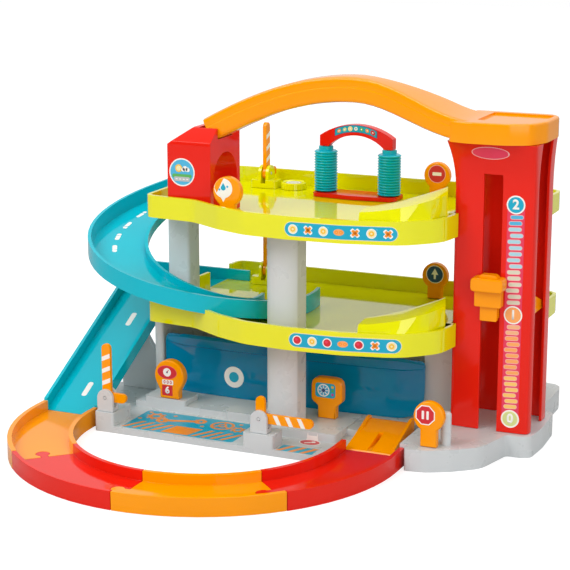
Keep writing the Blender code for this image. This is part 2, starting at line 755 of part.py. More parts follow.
def make_base(paints):
    base = finish("base_plate", prism(base_outline(), 0.0, SLAB), paints["grey"])
    join(base, prism(plinth_outline(), SLAB / 2, PLINTH), "plinth")
    left = SIDE_WALL_LEFT_X + SIDE_WALL + GAP
    back = BASE_BACK - REAR_WALL - 2 * GAP
    inner_front = SIDE_WALL_FRONT - 4 * GAP
    exit_side = EXIT_LEFT - 2 * GAP
    exit_back = EXIT_TOP_Y + 2 * GAP
    floor = [
        (WALKWAY_LEFT, WORKSHOP_FRONT),
        (exit_side, WORKSHOP_FRONT),
        (exit_side, exit_back),
        (RIGHT_WALL_LEFT, exit_back),
        (RIGHT_WALL_LEFT, back),
        (left, back),
        (left, inner_front),
        (WALKWAY_LEFT, inner_front),
    ]
    join(base, prism(floor, SLAB / 2, WORKSHOP_FLOOR), "workshop_floor")
    step_left = BASE_LEFT + PUMP_STEP_LEFT
    step_front = WORKSHOP_FRONT - GAP
    pump = rounded_box(step_left, step_front, step_left + PUMP_STEP_WIDTH, step_front + PUMP_STEP_DEPTH, 0.003)
    join(base, prism(pump, SLAB / 2, PUMP_STEP), "pump_step")
    step_back = WINDOW_FRONT - 0.0045
    centre = [
        (CENTRE_STEP_LEFT, CENTRE_STEP_FRONT, 0.004),
        (PILLAR_X - PILLAR_WIDTH / 2 - 0.010, CENTRE_STEP_FRONT, 0.002),
        (PILLAR_X - PILLAR_WIDTH / 2 - 0.010, PILLAR_FRONT - 0.005, 0.004),
        (CENTRE_STEP_RIGHT, PILLAR_FRONT - 0.005, 0.006),
        (CENTRE_STEP_RIGHT, step_back, 0.004),
        (CENTRE_STEP_LEFT, step_back, 0.004),
    ]
    join(base, prism(rounded(centre), SLAB / 2, CENTRE_STEP), "centre_step")
    left_block = rounded_box(
        BASE_LEFT, BASE_FRONT, BASE_LEFT + LEFT_BLOCK_WIDTH, BASE_FRONT + LEFT_BLOCK_DEPTH, 0.003
    )
    join(base, prism(left_block, SLAB / 2, BLOCK_TOP), "left_block")
    right_block = rounded_box(
        RIGHT_BLOCK_LEFT, BASE_FRONT, RIGHT_BLOCK_LEFT + RIGHT_BLOCK_WIDTH, BASE_FRONT + RIGHT_BLOCK_DEPTH, 0.003
    )
    join(base, prism(right_block, SLAB / 2, BLOCK_TOP), "right_block")
    bollard = cylinder(BOLLARD_X, BOLLARD_Y, BOLLARD_RADIUS, PLINTH / 2, PLINTH + BOLLARD_HEIGHT)
    rim = [edge for edge in bollard.edges if min(v.co.z for v in edge.verts) > PLINTH + BOLLARD_HEIGHT - 1e-4]
    bmesh.ops.bevel(
        bollard, geom=rim, offset=BOLLARD_RADIUS * 0.6, segments=3, profile=0.5, affect="EDGES", material=-1
    )
    join(base, bollard, "bollard")
    return base


def make_walls(paints):
    grey = paints["grey"]
    top = LEVEL_1 - GAP
    foot = SLAB + GAP
    back = BASE_BACK - REAR_WALL - 2 * GAP
    left = SIDE_WALL_LEFT_X
    outline = rounded_box(left, SIDE_WALL_FRONT, left + SIDE_WALL, back, 0.004)
    wall = finish("side_wall_left", prism(outline, foot, top), grey)
    reach = RAMP_REST_REACH
    rest_top = straight_floor(RAMP_REST_Y) - RAMP_FLOOR - GAP
    shape = [
        (left + SIDE_WALL / 2, foot),
        (left + SIDE_WALL / 2, rest_top * 0.62),
        (RAMP_RIGHT + RAMP_WALL, rest_top * 0.82),
        (RAMP_RIGHT - RAMP_WALL, rest_top),
        (left - reach, rest_top),
        (left - reach * 0.86, foot),
    ]
    join(wall, plate(shape, RAMP_REST_Y, RAMP_REST_Y + RAMP_REST_THICK), "ramp_rest")
    under = top - GAP
    shelf = [
        (left + SIDE_WALL * 0.4, top - 0.022),
        (left + SIDE_WALL * 0.4, under),
        (RAMP_RIGHT - RAMP_WALL, under),
        (RAMP_RIGHT - RAMP_WALL, top - 0.004),
    ]
    middle = (LANDING_FRONT + LANDING_BACK) / 2
    join(wall, plate(shelf, middle - 0.020, middle + 0.020), "landing_shelf")
    flange_left = left + SIDE_WALL * 0.6
    flange = box((flange_left, SIDE_WALL_FRONT + 0.004, top - FLANGE), (FLANGE_RIGHT, back - 2 * GAP, under))
    join(wall, flange, "flange")

    rear = rounded_box(left, BASE_BACK - REAR_WALL, PLINTH_LEFT, BASE_BACK, 0.001, 1)
    finish("rear_wall", prism(rear, foot, top), grey)
    right = rounded_box(RIGHT_WALL_LEFT, RIGHT_WALL_Y, TOWER_LEFT - 2 * GAP, RIGHT_WALL_Y + REAR_WALL, 0.001, 1)
    side = prism(right, PLINTH + GAP, top)
    wall_right = finish("side_wall_right", side, grey)
    skirt_right = min(PLINTH_LEFT, TOWER_LEFT) - 2 * GAP
    skirt = box((RIGHT_WALL_LEFT, RIGHT_WALL_Y, foot), (skirt_right, RIGHT_WALL_Y + REAR_WALL, PLINTH * 1.5))
    join(wall_right, skirt, "skirt")


def pillar_outline():
    half = PILLAR_WIDTH / 2
    back = PILLAR_FRONT + PILLAR_DEPTH
    front_arc = arc((PILLAR_X, PILLAR_FRONT + half * 0.62), half, math.radians(202), math.radians(338), 10)
    scale = half * 0.62 / half
    bowed = [(x, PILLAR_FRONT + half * 0.62 + (y - PILLAR_FRONT - half * 0.62) * scale) for x, y in front_arc]
    return [*bowed, (PILLAR_X + half, back), (PILLAR_X - half, back)]


def make_pillars(paints):
    grey = paints["grey"]
    finish("front_pillar_lower", prism(pillar_outline(), CENTRE_STEP + GAP, LEVEL_1 - GAP), grey)
    finish("front_pillar_upper", prism(pillar_outline(), FLOOR_1 + GAP, LEVEL_2 - GAP), grey)
    for side, x, y in (
        ("left", REAR_COLUMN_LEFT_X, REAR_COLUMN_LEFT_Y),
        ("right", REAR_COLUMN_RIGHT_X, REAR_COLUMN_RIGHT_Y),
    ):
        outline = rounded_box(x, y, x + REAR_COLUMN_WIDTH, y + REAR_COLUMN_DEPTH, 0.004)
        finish(f"deck_column_{side}", prism(outline, FLOOR_1 + GAP, LEVEL_2 - GAP), grey)


def make_window(paints):
    """A clear bowed front: a rounded sheet that is cut into bands and then bowed in plan."""
    low = WORKSHOP_FLOOR + GAP
    corners = [
        (WINDOW_LEFT, low, WINDOW_CORNER_LEFT),
        (WINDOW_RIGHT, low, WINDOW_CORNER_RIGHT),
        (WINDOW_RIGHT, WINDOW_TOP, 0.008),
        (WINDOW_LEFT, WINDOW_TOP, 0.008),
    ]
    bm = plate(rounded(corners, 6), 0.0, WINDOW_THICK)
    for i in range(1, WINDOW_BANDS):
        x = WINDOW_LEFT + (WINDOW_RIGHT - WINDOW_LEFT) * i / WINDOW_BANDS
        bmesh.ops.bisect_plane(
            bm, geom=bm.verts[:] + bm.edges[:] + bm.faces[:], plane_co=(x, 0, 0), plane_no=(1, 0, 0)
        )
    for vert in bm.verts:
        vert.co.y += window_y(vert.co.x)
    sheet = finish("workshop_window", bm, paints["clear_blue"])
    band = []
    span = WINDOW_RIGHT - WINDOW_LEFT - 0.004
    middle = WINDOW_TOP - BROW / 2 + 0.001
    for i in range(WINDOW_BANDS + 1):
        x = WINDOW_LEFT + 0.002 + span * i / WINDOW_BANDS
        y = window_y(x)
        half = BROW / 2 * (0.55 if i in (0, WINDOW_BANDS) else 1.0)
        rise = BROW_RISE * (0.4 if i in (0, WINDOW_BANDS) else 1.0)
        band.append(
            [
                (x, y + 0.001, middle - half),
                (x, y - rise, middle - half * 0.6),
                (x, y - rise, middle + half * 0.6),
                (x, y + 0.001, middle + half),
            ]
        )
    join(sheet, loft(band), "brow")


def tower_section(z, share, parts):
    """One shell of the tower in plan, a wall with a return at each end; share tells how far it has flared."""
    left = TOWER_LEFT - FLARE_LEFT * share
    right = TOWER_RIGHT + FLARE_RIGHT * share
    wall = TOWER_WALL
    if parts == "front":
        face = TOWER_FRONT - FLARE_FRONT * share
        end = TOWER_FRONT + FRONT_RETURN
        corner = TOWER_CORNER
        return [
            (left, end, z),
            (left, face + corner, z),
            (left + corner * 0.3, face + corner * 0.3, z),
            (left + corner, face, z),
            ((left + right) / 2, face - 0.0015, z),
            (right - corner, face, z),
            (right - corner * 0.3, face + corner * 0.3, z),
            (right, face + corner, z),
            (right, end, z),
            (right - wall, end, z),
            (right - wall, face + corner, z),
            (right - corner, face + wall, z),
            (left + corner, face + wall, z),
            (left + wall, face + corner, z),
            (left + wall, end, z),
        ]
    back = TOWER_BACK
    end = TOWER_BACK - REAR_RETURN
    corner = TOWER_CORNER
    return [
        (left, end, z),
        (left + wall, end, z),
        (left + wall, back - corner, z),
        (left + corner, back - wall, z),
        (right - corner, back - wall, z),
        (right - wall, back - corner, z),
        (right - wall, end, z),
        (right, end, z),
        (right, back - corner, z),
        (right - corner * 0.3, back - corner * 0.3, z),
        (right - corner, back, z),
        (left + corner, back, z),
        (left + corner * 0.3, back - corner * 0.3, z),
        (left, back - corner, z),
    ]


def make_tower(paints):
    levels = [(PLINTH + GAP, 0.0)]
    for i in range(6):
        share = i / 5
        levels.append((FLARE_START + (TOWER_TOP - FLARE_START) * share, share**2))
    front = finish(
        "tower_front",
        loft([tower_section(z, share, "front") for z, share in levels]),
        paints["red"],
    )
    slot = box(
        (SLOT_LEFT, TOWER_FRONT - 0.02, PLINTH - 0.01),
        (SLOT_LEFT + SLOT_WIDTH, TOWER_FRONT + TOWER_WALL + 0.004, SLOT_TOP),
    )
    cut(front, slot, "handle_slot")
    finish(
        "tower_rear",
        loft([tower_section(z, share, "rear") for z, share in levels]),
        paints["red"],
    )


def make_lift(paints):
    """The platform inside the shaft and the handle in front of it, joined by a neck through the slot."""
    centre = SLOT_LEFT + SLOT_WIDTH / 2
    origin = (centre, TOWER_FRONT, LIFT_FLOOR)
    inside_front = TOWER_FRONT + TOWER_WALL + PLATFORM_SIDE_CLEARANCE
    inside_back = TOWER_BACK - TOWER_WALL - PLATFORM_SIDE_CLEARANCE
    left = TOWER_LEFT + TOWER_WALL + PLATFORM_SIDE_CLEARANCE
    right = TOWER_RIGHT - TOWER_WALL - PLATFORM_SIDE_CLEARANCE
    outline = rounded_box(left, inside_front, right, inside_back, 0.005, 2)
    platform = finish(
        "lift_platform", prism(outline, LIFT_FLOOR - PLATFORM_THICK, LIFT_FLOOR), paints["orange"], origin
    )
    cheek = [
        (inside_front + 0.001, LIFT_FLOOR - PLATFORM_THICK / 2),
        (inside_back - 0.006, LIFT_FLOOR - PLATFORM_THICK / 2),
        (inside_back - 0.006, LIFT_FLOOR + 0.003),
        (inside_front + 0.001, LIFT_FLOOR + PLATFORM_CHEEK),
    ]
    join(platform, panel(cheek, right - 0.0035, right - 0.0005), "cheek")
    back_plate = [
        (left + 0.006, LIFT_FLOOR - PLATFORM_THICK / 2),
        (right - 0.002, LIFT_FLOOR - PLATFORM_THICK / 2),
        (right - 0.002, LIFT_FLOOR + PLATFORM_CHEEK),
        (centre + 0.012, NECK_HIGH),
        (centre - 0.012, NECK_HIGH),
        (left + 0.006, LIFT_FLOOR + PLATFORM_CHEEK * 0.6),
    ]
    join(platform, plate(back_plate, inside_front + 0.0005, inside_front + 0.0035), "back_plate")
    neck_half = SLOT_WIDTH / 2 - RUNNING
    handle_back = TOWER_FRONT - 2 * RUNNING - 0.0015
    neck = [
        (centre - neck_half, NECK_LOW),
        (centre + neck_half, NECK_LOW),
        (centre + neck_half, NECK_HIGH - 0.003),
        (centre - neck_half, NECK_HIGH - 0.003),
    ]
    join(platform, plate(neck, handle_back + GAP, inside_front + 0.002), "neck")

    bar = rounded_box(centre - KNOB_WIDTH / 2, KNOB_LOW, centre + KNOB_WIDTH / 2, KNOB_LOW + KNOB_HEIGHT, 0.0045)
    knob = plate(bar, handle_back - KNOB_DEPTH, handle_back)
    front_edges = [e for e in knob.edges if max(v.co.y for v in e.verts) < handle_back - KNOB_DEPTH + 1e-5]
    bmesh.ops.bevel(knob, geom=front_edges, offset=0.002, segments=2, profile=0.5, affect="EDGES", material=-1)
    handle = finish("lift_handle", knob, paints["orange"], origin)
    crown = [
        (centre - 0.010, KNOB_LOW + KNOB_HEIGHT / 2),
        (centre + 0.010, KNOB_LOW + KNOB_HEIGHT / 2),
        (centre + 0.010, KNOB_LOW + KNOB_HEIGHT + 0.001),
        (centre + 0.007, KNOB_LOW + KNOB_HEIGHT + 0.003),
        (centre - 0.007, KNOB_LOW + KNOB_HEIGHT + 0.003),
        (centre - 0.010, KNOB_LOW + KNOB_HEIGHT + 0.001),
    ]
    join(handle, plate(crown, handle_back - KNOB_DEPTH * 0.6, handle_back - 0.0002), "crown")
    half = BRACKET_WIDTH / 2
    bracket = rounded_box(centre - half, BRACKET_LOW, centre + half, KNOB_LOW + KNOB_HEIGHT / 2, 0.001, 1)
    join(handle, plate(bracket, handle_back - BRACKET_DEPTH, handle_back - 0.0001), "bracket")
    half = TONGUE_WIDTH / 2
    tongue = rounded_box(centre - half, TONGUE_LOW, centre + half, BRACKET_LOW + 0.004, 0.001, 1)
    join(handle, plate(tongue, handle_back - TONGUE_DEPTH, handle_back - 0.0003), "tongue")


def beam_centre(x):
    """Height of the middle of the beam over its run: an arch that flows into the pad on the right."""
    crest = TOWER_TOP + BEAM_CREST - BEAM_HEIGHT / 2
    if x <= BEAM_CREST_X:
        share = (BEAM_CREST_X - x) / (BEAM_CREST_X - BEAM_LEFT_X)
        return crest - BEAM_LEFT_DROP * (1 - math.cos(share * math.pi * 0.46)) / (1 - math.cos(math.pi * 0.46))
    share = (x - BEAM_CREST_X) / (BEAM_RIGHT_X - BEAM_CREST_X)
    pad = TOWER_TOP + GAP + PAD_THICK / 2
    return crest - (crest - pad) * (1 - math.cos(share * math.pi)) / 2


def beam_section(x, step=1e-4):
    """The beam's rounded section, square to its run, with a groove along the front."""
    z = beam_centre(x)
    slope = math.atan2(beam_centre(x + step) - beam_centre(x - step), 2 * step)
    share = min(max((x - BEAM_CREST_X) / (BEAM_RIGHT_X - BEAM_CREST_X), 0.0), 1.0)
    half = (BEAM_HEIGHT + (PAD_THICK - BEAM_HEIGHT) * share) / 2 - 0.0003 * share
    front = PAD_FRONT
    spread = min(max((x - BEAM_SPREAD_X) / (BEAM_SPREAD_END - BEAM_SPREAD_X), 0.0), 1.0)
    spread = spread * spread * (3 - 2 * spread)
    back = PAD_FRONT + BEAM_DEPTH + (PAD_BACK - PAD_CORNER - PAD_FRONT - BEAM_DEPTH) * spread
    soft = 0.005
    outline = [
        (front + soft, -half),
        (front + soft * 0.3, -half + soft * 0.3),
        (front, -half + soft),
        (front, half * 0.15),
        (front + BEAM_GROOVE, half * 0.25),
        (front + BEAM_GROOVE, half - soft),
        (front + BEAM_GROOVE + soft * 0.3, half - soft * 0.3),
        (front + soft + BEAM_GROOVE, half),
        (back - soft, half),
        (back - soft * 0.3, half - soft * 0.3),
        (back, half - soft),
        (back, -half + soft),
        (back - soft * 0.3, -half + soft * 0.3),
        (back - soft, -half),
    ]
    return [(x - up * math.sin(slope), y, z + up * math.cos(slope)) for y, up in outline]


def pad_outline(inset):
    left = PAD_LEFT + inset
    right = PAD_RIGHT - inset
    middle = (left + right) / 2
    front = PAD_FRONT + inset
    back = PAD_BACK - inset
    corner = PAD_CORNER - inset * 0.8
    return rounded(
        [
            (left, front, corner * 0.4),
            (left + (middle - left) * 0.5, front - PAD_BOW * 0.75, 0.03),
            (right - PAD_NOSE, front - PAD_BOW * 0.5, 0.04),
            (right - PAD_NOSE * 0.25, front + PAD_NOSE * 0.25, 0.02),
            (right, front + PAD_NOSE, 0.03),
            (right, back, corner),
            (left, back, corner * 0.4),
        ],
        4,
    )


def make_handle(paints):
    low = TOWER_TOP + GAP
    pad = prism(pad_outline(0.0), low, low + PAD_THICK)
    edges = [e for e in pad.edges if min(v.co.z for v in e.verts) > low + PAD_THICK - 1e-5]
    bmesh.ops.bevel(pad, geom=edges, offset=0.003, segments=2, profile=0.5, affect="EDGES", material=-1)
    handle = finish("carry_handle", pad, paints["orange"])
    steps = 26
    xs = [BEAM_END_X + (BEAM_RIGHT_X - 0.004 - BEAM_END_X) * i / steps for i in range(steps + 1)]
    join(handle, loft([beam_section(x) for x in xs]), "beam")
    recess = prism(pad_outline(PAD_RIM + 0.010), low + PAD_THICK - PAD_RECESS, low + PAD_THICK + 0.05)
    bmesh.ops.translate(recess, verts=recess.verts[:], vec=(0.010, 0.004, 0))
    cut(handle, recess, "landing_recess")
    return handle


def make_gatehouse(paints):
    """An open arch of a house: slanting nose, tunnel from side to side, saddle in the roof for the handle."""
    floor = FLOOR_2 + GAP
    left = GATE_LEFT
    right = GATE_LEFT + GATE_WIDTH
    front = GATE_FRONT
    back = GATE_FRONT + GATE_DEPTH
    top = floor + GATE_HEIGHT
    outline = [
        (front, floor),
        (back, floor),
        (back, top - 0.008),
        (back - 0.003, top - 0.002),
        (back - 0.010, top),
        (front + GATE_SLOPE_DEPTH + 0.004, top),
        (front + GATE_SLOPE_DEPTH, top - 0.0015),
        (front + 0.001, top - GATE_SLOPE_HEIGHT + 0.001),
        (front, top - GATE_SLOPE_HEIGHT - 0.003),
    ]
    house = finish("gatehouse", panel(outline, left, right), paints["red"])
    hip = [
        (left - 0.2 * GATE_HIP_WIDTH, top - 1.2 * GATE_HIP_HEIGHT),
        (left + 1.2 * GATE_HIP_WIDTH, top + 0.2 * GATE_HIP_HEIGHT),
        (left - 0.2 * GATE_HIP_WIDTH, top + 0.2 * GATE_HIP_HEIGHT),
    ]
    cut(house, plate(hip, front - 0.01, back + 0.01), "hip")
    side = GATE_ARCH_SIDE
    half = (GATE_DEPTH - 2 * side) / 2
    spring = floor + GATE_ARCH_HEIGHT - half
    tunnel = [(front + side, floor - 0.01), (back - side, floor - 0.01), (back - side, spring)]
    tunnel += arc((front + side + half, spring), half, 0, math.pi, 12)[1:-1]
    tunnel += [(front + side, spring)]
    cut(house, panel(tunnel, left - 0.01, right + 0.01), "tunnel")
    clear = 3 * GAP
    end = BEAM_END_X - BEAM_HEIGHT / 4 - 2 * clear
    xs = [end + (right + 0.02 - end) * i / 6 for i in range(7)]
    saddle = []
    for x in xs:
        slope = math.atan2(beam_centre(x + 1e-4) - beam_centre(x - 1e-4), 2e-4)
        seat = beam_centre(x) - BEAM_HEIGHT / 2 / math.cos(slope) - clear
        near = PAD_FRONT - clear
        far = PAD_FRONT + BEAM_DEPTH + clear
        saddle.append([(x, near, seat), (x, far, seat), (x, far, top + 0.02), (x, near, top + 0.02)])
    cut(house, loft(saddle), "saddle")
    return house


def track_section():
    return channel(TRACK_OUTER - TRACK_WIDTH, TRACK_OUTER, TRACK_FLOOR, TRACK_WALL, TRACK_HEIGHT - TRACK_FLOOR)


def track_lead(radius_sign, end_y):
    """A straight lead-in that carries the section from the ring's end to a line of equal Y."""
    section = track_section()
    start = TRACK_Y - 0.002
    return loft(
        [[(TRACK_X + radius_sign * r, y, z + TRACK_FLOOR) for r, z in section] for y in (start, end_y)]
    )


def joint_shape(angle, grow, low, high):
    """The puzzle knob that reaches back over a seam: a round head on a narrow neck."""
    radius = TRACK_OUTER - TRACK_WIDTH / 2
    back = Vector((math.sin(angle), -math.cos(angle)))
    across = Vector((math.cos(angle), math.sin(angle)))
    seam = Vector((TRACK_X, TRACK_Y)) + across * radius
    head = seam + back * KNOB_JOINT_REACH
    neck = KNOB_JOINT_NECK / 2 + grow
    size = KNOB_JOINT_RADIUS + grow
    opening = math.asin(neck / size)
    turn = math.atan2(back.y, back.x)
    points = arc(head, size, turn + math.pi + opening, turn + 3 * math.pi - opening, 12)
    root_a = seam - back * 0.004 - across * neck
    root_b = seam - back * 0.004 + across * neck
    first = Vector(points[0])
    if (first - root_a).length < (first - root_b).length:
        outline = [*points, tuple(root_b), tuple(root_a)]
    else:
        outline = [*points, tuple(root_a), tuple(root_b)]
    return prism(outline, low, high)


def make_track(paints):
    names = ("orange", "red", "orange", "red")
    last = len(names) - 1
    for i, colour in enumerate(names):
        start = math.radians(TRACK_SEAMS[i])
        end = math.radians(TRACK_SEAMS[i + 1])
        seam = GAP / TRACK_OUTER
        bm = swept(
            track_section(), (TRACK_X, TRACK_Y), start + seam, end - seam, TRACK_STEPS, lambda angle: TRACK_FLOOR
        )
        piece = finish(f"track_piece_{i + 1}", bm, paints[colour])
        if i == 0:
            join(piece, track_lead(-1, STRAIGHT_FOOT_Y - GAP), "lead")
        else:
            join(piece, joint_shape(start, 0.0, 0.0, TRACK_FLOOR), "knob")
        if i == last:
            join(piece, track_lead(1, TRACK_RIGHT_END_Y), "lead")
        else:
            cut(piece, joint_shape(end, GAP, -0.01, TRACK_FLOOR + 0.001), "socket")


def make_exit_ramp(paints):
    left = EXIT_LEFT
    right = EXIT_LEFT + EXIT_WIDTH
    low = SLAB + GAP
    foot = TRACK_RIGHT_END_Y + 4 * GAP
    slope = [
        (foot, low),
        (EXIT_TOP_Y, low),
        (EXIT_TOP_Y, PLINTH),
        (EXIT_TOP_Y - 0.008, PLINTH),
        (foot + 0.002, low + 0.0025),
    ]
    ramp = finish("exit_ramp", panel(slope, left, right), paints["orange"])
    for side, x, lip in (("left", left, EXIT_LIP / 2), ("right", right - EXIT_WALL, EXIT_LIP)):
        wall = [
            (foot + 0.010, low + 0.001),
            (EXIT_TOP_Y, low + 0.001),
            (EXIT_TOP_Y, PLINTH + lip),
            (EXIT_TOP_Y - 0.008, PLINTH + lip),
            (foot + 0.010, low + lip),
        ]
        join(ramp, panel(wall, x, x + EXIT_WALL), f"{side}_wall")
    middle = (left + right) / 2
    cut(ramp, box((middle - 0.0025, foot - 0.01, low + 0.0025), (middle + 0.0025, foot + 0.040, PLINTH)), "slit")
    return ramp


def barrier_post(name, x, y, floor, facing, paint, foot_height):
    """A forked post: two round-topped cheeks with the arm between them. Facing is the pin's direction.
    A deck's post has a foot plate, and its fork is cut into it."""
    inner = ARM_THICK / 2 + RUNNING
    outer = inner + CHEEK
    half = POST_WIDTH / 2
    pin_z = floor + foot_height + PIN_HEIGHT
    outline = [(-half, floor), (half, floor)]
    outline += arc((0.0, pin_z), half, 0, math.pi, 10)
    bm = plate(outline, -outer, outer)
    turn = Matrix.Identity(4) if facing == "Y" else Matrix.Rotation(math.pi / 2, 4, "Z")
    place = Matrix.Translation((x, y, 0)) @ turn
    bmesh.ops.transform(bm, matrix=place, verts=bm.verts[:])
    post = finish(name, bm, paint)
    if foot_height == DECK_BARRIER_FOOT:
        left = x - DECK_FOOT_LENGTH / 2
        front = y - DECK_FOOT_DEPTH / 2
        plan = rounded_box(left, front, left + DECK_FOOT_LENGTH, front + DECK_FOOT_DEPTH, 0.004)
        join(post, prism(plan, floor, floor + DECK_FOOT_HEIGHT), "foot")
    gap = box((-POST_WIDTH, -inner, floor + foot_height), (POST_WIDTH, inner, pin_z + POST_WIDTH))
    bmesh.ops.transform(gap, matrix=place, verts=gap.verts[:])
    cut(post, gap, "fork")
    hole = rod((x, y, pin_z), facing, PIN_HOLE, 4 * outer)
    cut(post, hole, "pin_hole")
    return pin_z


def barrier_pin(name, x, y, pin_z, facing, paint):
    outer = ARM_THICK / 2 + RUNNING + CHEEK
    finish(name, rod((x, y, pin_z), facing, PIN_RADIUS, 2 * outer, 12), paint)


def barrier_arm(name, x, y, pin_z, facing, along, grip, paint):
    """An arm and its stub handle on one hub; along and grip are directions in degrees from level."""
    def bar(degrees, length):
        half = ARM_WIDTH / 2
        outline = [(0.0, -half), (length - half, -half)]
        outline += arc((length - half, 0.0), half, -math.pi / 2, math.pi / 2, 6)[1:-1]
        outline += [(length - half, half), (0.0, half)]
        turn = math.radians(degrees)
        points = [
            (px * math.cos(turn) - pz * math.sin(turn), px * math.sin(turn) + pz * math.cos(turn))
            for px, pz in outline
        ]
        return points

    turn = Matrix.Identity(4) if facing == "Y" else Matrix.Rotation(math.pi / 2, 4, "Z")
    place = Matrix.Translation((x, y, pin_z)) @ turn

    def shape(outline, thick):
        bm = plate(outline, -thick / 2, thick / 2)
        bmesh.ops.transform(bm, matrix=place, verts=bm.verts[:])
        return bm

    arm = finish(name, shape(bar(along, ARM_LENGTH), ARM_THICK), paint, (x, y, pin_z))
    join(arm, shape(bar(grip, ARM_GRIP), ARM_THICK), "grip")
    hub = rod((x, y, pin_z), facing, ARM_HUB, ARM_THICK, 20)
    join(arm, hub, "hub")
    cut(arm, rod((x, y, pin_z), facing, PIN_RADIUS + RUNNING, 4 * ARM_THICK), "pin_hole")
    return arm


def make_barriers(paints):
    depth = ARM_THICK + 2 * RUNNING + 2 * CHEEK
    ground_y = BASE_FRONT + 0.003 + depth / 2
    top = BLOCK_TOP + GAP
    left_x = BASE_LEFT + LEFT_BLOCK_WIDTH / 2
    right_x = RIGHT_BLOCK_LEFT + POST_WIDTH / 2 + RIGHT_POST_INSET
    sites = (
        ("ground_left", left_x, ground_y, top, "Y", 90, 0, "grey"),
        ("ground_right", right_x, ground_y, top, "Y", 0, 90, "grey"),
        ("level_1", DECK_BARRIER_X, DECK_BARRIER_Y, FLOOR_1 + GAP, "X", 90, 0, "lime"),
        ("level_2", DECK_BARRIER_X, DECK_BARRIER_Y, FLOOR_2 + GAP, "X", 90, 0, "lime"),
    )
    for name, x, y, floor, facing, along, grip, colour in sites:
        foot = GROUND_BARRIER_FOOT if colour == "grey" else DECK_BARRIER_FOOT
        pin_z = barrier_post(f"barrier_post_{name}", x, y, floor, facing, paints[colour], foot)
        barrier_pin(f"barrier_pin_{name}", x, y, pin_z, facing, paints["grey"])
        barrier_arm(f"barrier_arm_{name}", x, y, pin_z, facing, along, grip, paints["orange"])


def chamfer_rims(bm, width):
    """Breaks the edges round the front and the back of a plate."""
    low = min(v.co.y for v in bm.verts)
    high = max(v.co.y for v in bm.verts)
    edges = [
        e for e in bm.edges
        if all(abs(v.co.y - low) < 1e-6 for v in e.verts) or all(abs(v.co.y - high) < 1e-6 for v in e.verts)
    ]
    bmesh.ops.bevel(bm, geom=edges, offset=width, segments=1, profile=0.5, affect="EDGES", material=-1)


def round_sign(name, x, y, floor, stem, radius, paint):
    """A disc on a stem."""
    half = SIGN_STEM / 2
    low = floor + GAP
    centre = low + stem + radius
    spread = math.asin(half / radius)
    outline = [(x - half, low), (x + half, low)]
    start = -math.pi / 2 + spread
    outline += arc((x, centre), radius, start, 2 * math.pi + start - 2 * spread, 22)
    bm = plate(outline, y - SIGN_THICK / 2, y + SIGN_THICK / 2)
    chamfer_rims(bm, SIGN_CHAMFER)
    finish(name, bm, paint)


def make_signs(paints):
    orange = paints["orange"]
    stop_x = TRACK_END_RIGHT + STOP_SIGN_X
    round_sign("stop_sign", stop_x, STOP_SIGN_Y, PLINTH, STOP_SIGN_STEM, SIGN_RADIUS + 0.001, orange)
    round_sign("arrow_sign", REAR_SIGN_X, REAR_SIGN_Y, FLOOR_1, REAR_SIGN_STEM, SIGN_RADIUS, orange)
    round_sign("no_entry_sign", REAR_SIGN_X, REAR_SIGN_Y, FLOOR_2, REAR_SIGN_STEM, SIGN_RADIUS, orange)
    round_sign("wash_sign", WASH_SIGN_X, WASH_SIGN_Y, FLOOR_2, WASH_SIGN_STEM, SIGN_RADIUS + 0.001, orange)

    low = PUMP_STEP + GAP
    x = BASE_LEFT + PUMP_SIDE
    centre = low + PUMP_HEIGHT - PUMP_HEAD
    body = [(x - PUMP_FOOT, low), (x + PUMP_FOOT, low), (x + PUMP_FOOT, low + 0.009)]
    body += arc((x, centre), PUMP_HEAD, math.radians(-24), math.radians(204), 16)
    body += [(x - PUMP_FOOT, low + 0.009)]
    bm = plate(body, PUMP_FRONT, PUMP_FRONT + PUMP_THICK)
    chamfer_rims(bm, SIGN_CHAMFER)
    finish("fuel_pump", bm, orange)

    low = CENTRE_STEP + GAP
    high = low + PANEL_HEIGHT
    corners = [
        (PANEL_X - PANEL_FOOT, low, 0.0005),
        (PANEL_X + PANEL_FOOT, low, 0.0005),
        (PANEL_X + PANEL_FOOT, low + 0.014, 0.003),
        (PANEL_X + PANEL_HALF, low + 0.020, 0.007),
        (PANEL_X + PANEL_HALF, high, 0.010),
        (PANEL_X - PANEL_HALF, high, 0.010),
        (PANEL_X - PANEL_HALF, low + 0.020, 0.007),
        (PANEL_X - PANEL_FOOT, low + 0.014, 0.003),
    ]
    bm = plate(rounded(corners, 3), PANEL_FRONT, PANEL_FRONT + PANEL_THICK)
    chamfer_rims(bm, SIGN_CHAMFER)
    finish("diagnosis_post", bm, orange)


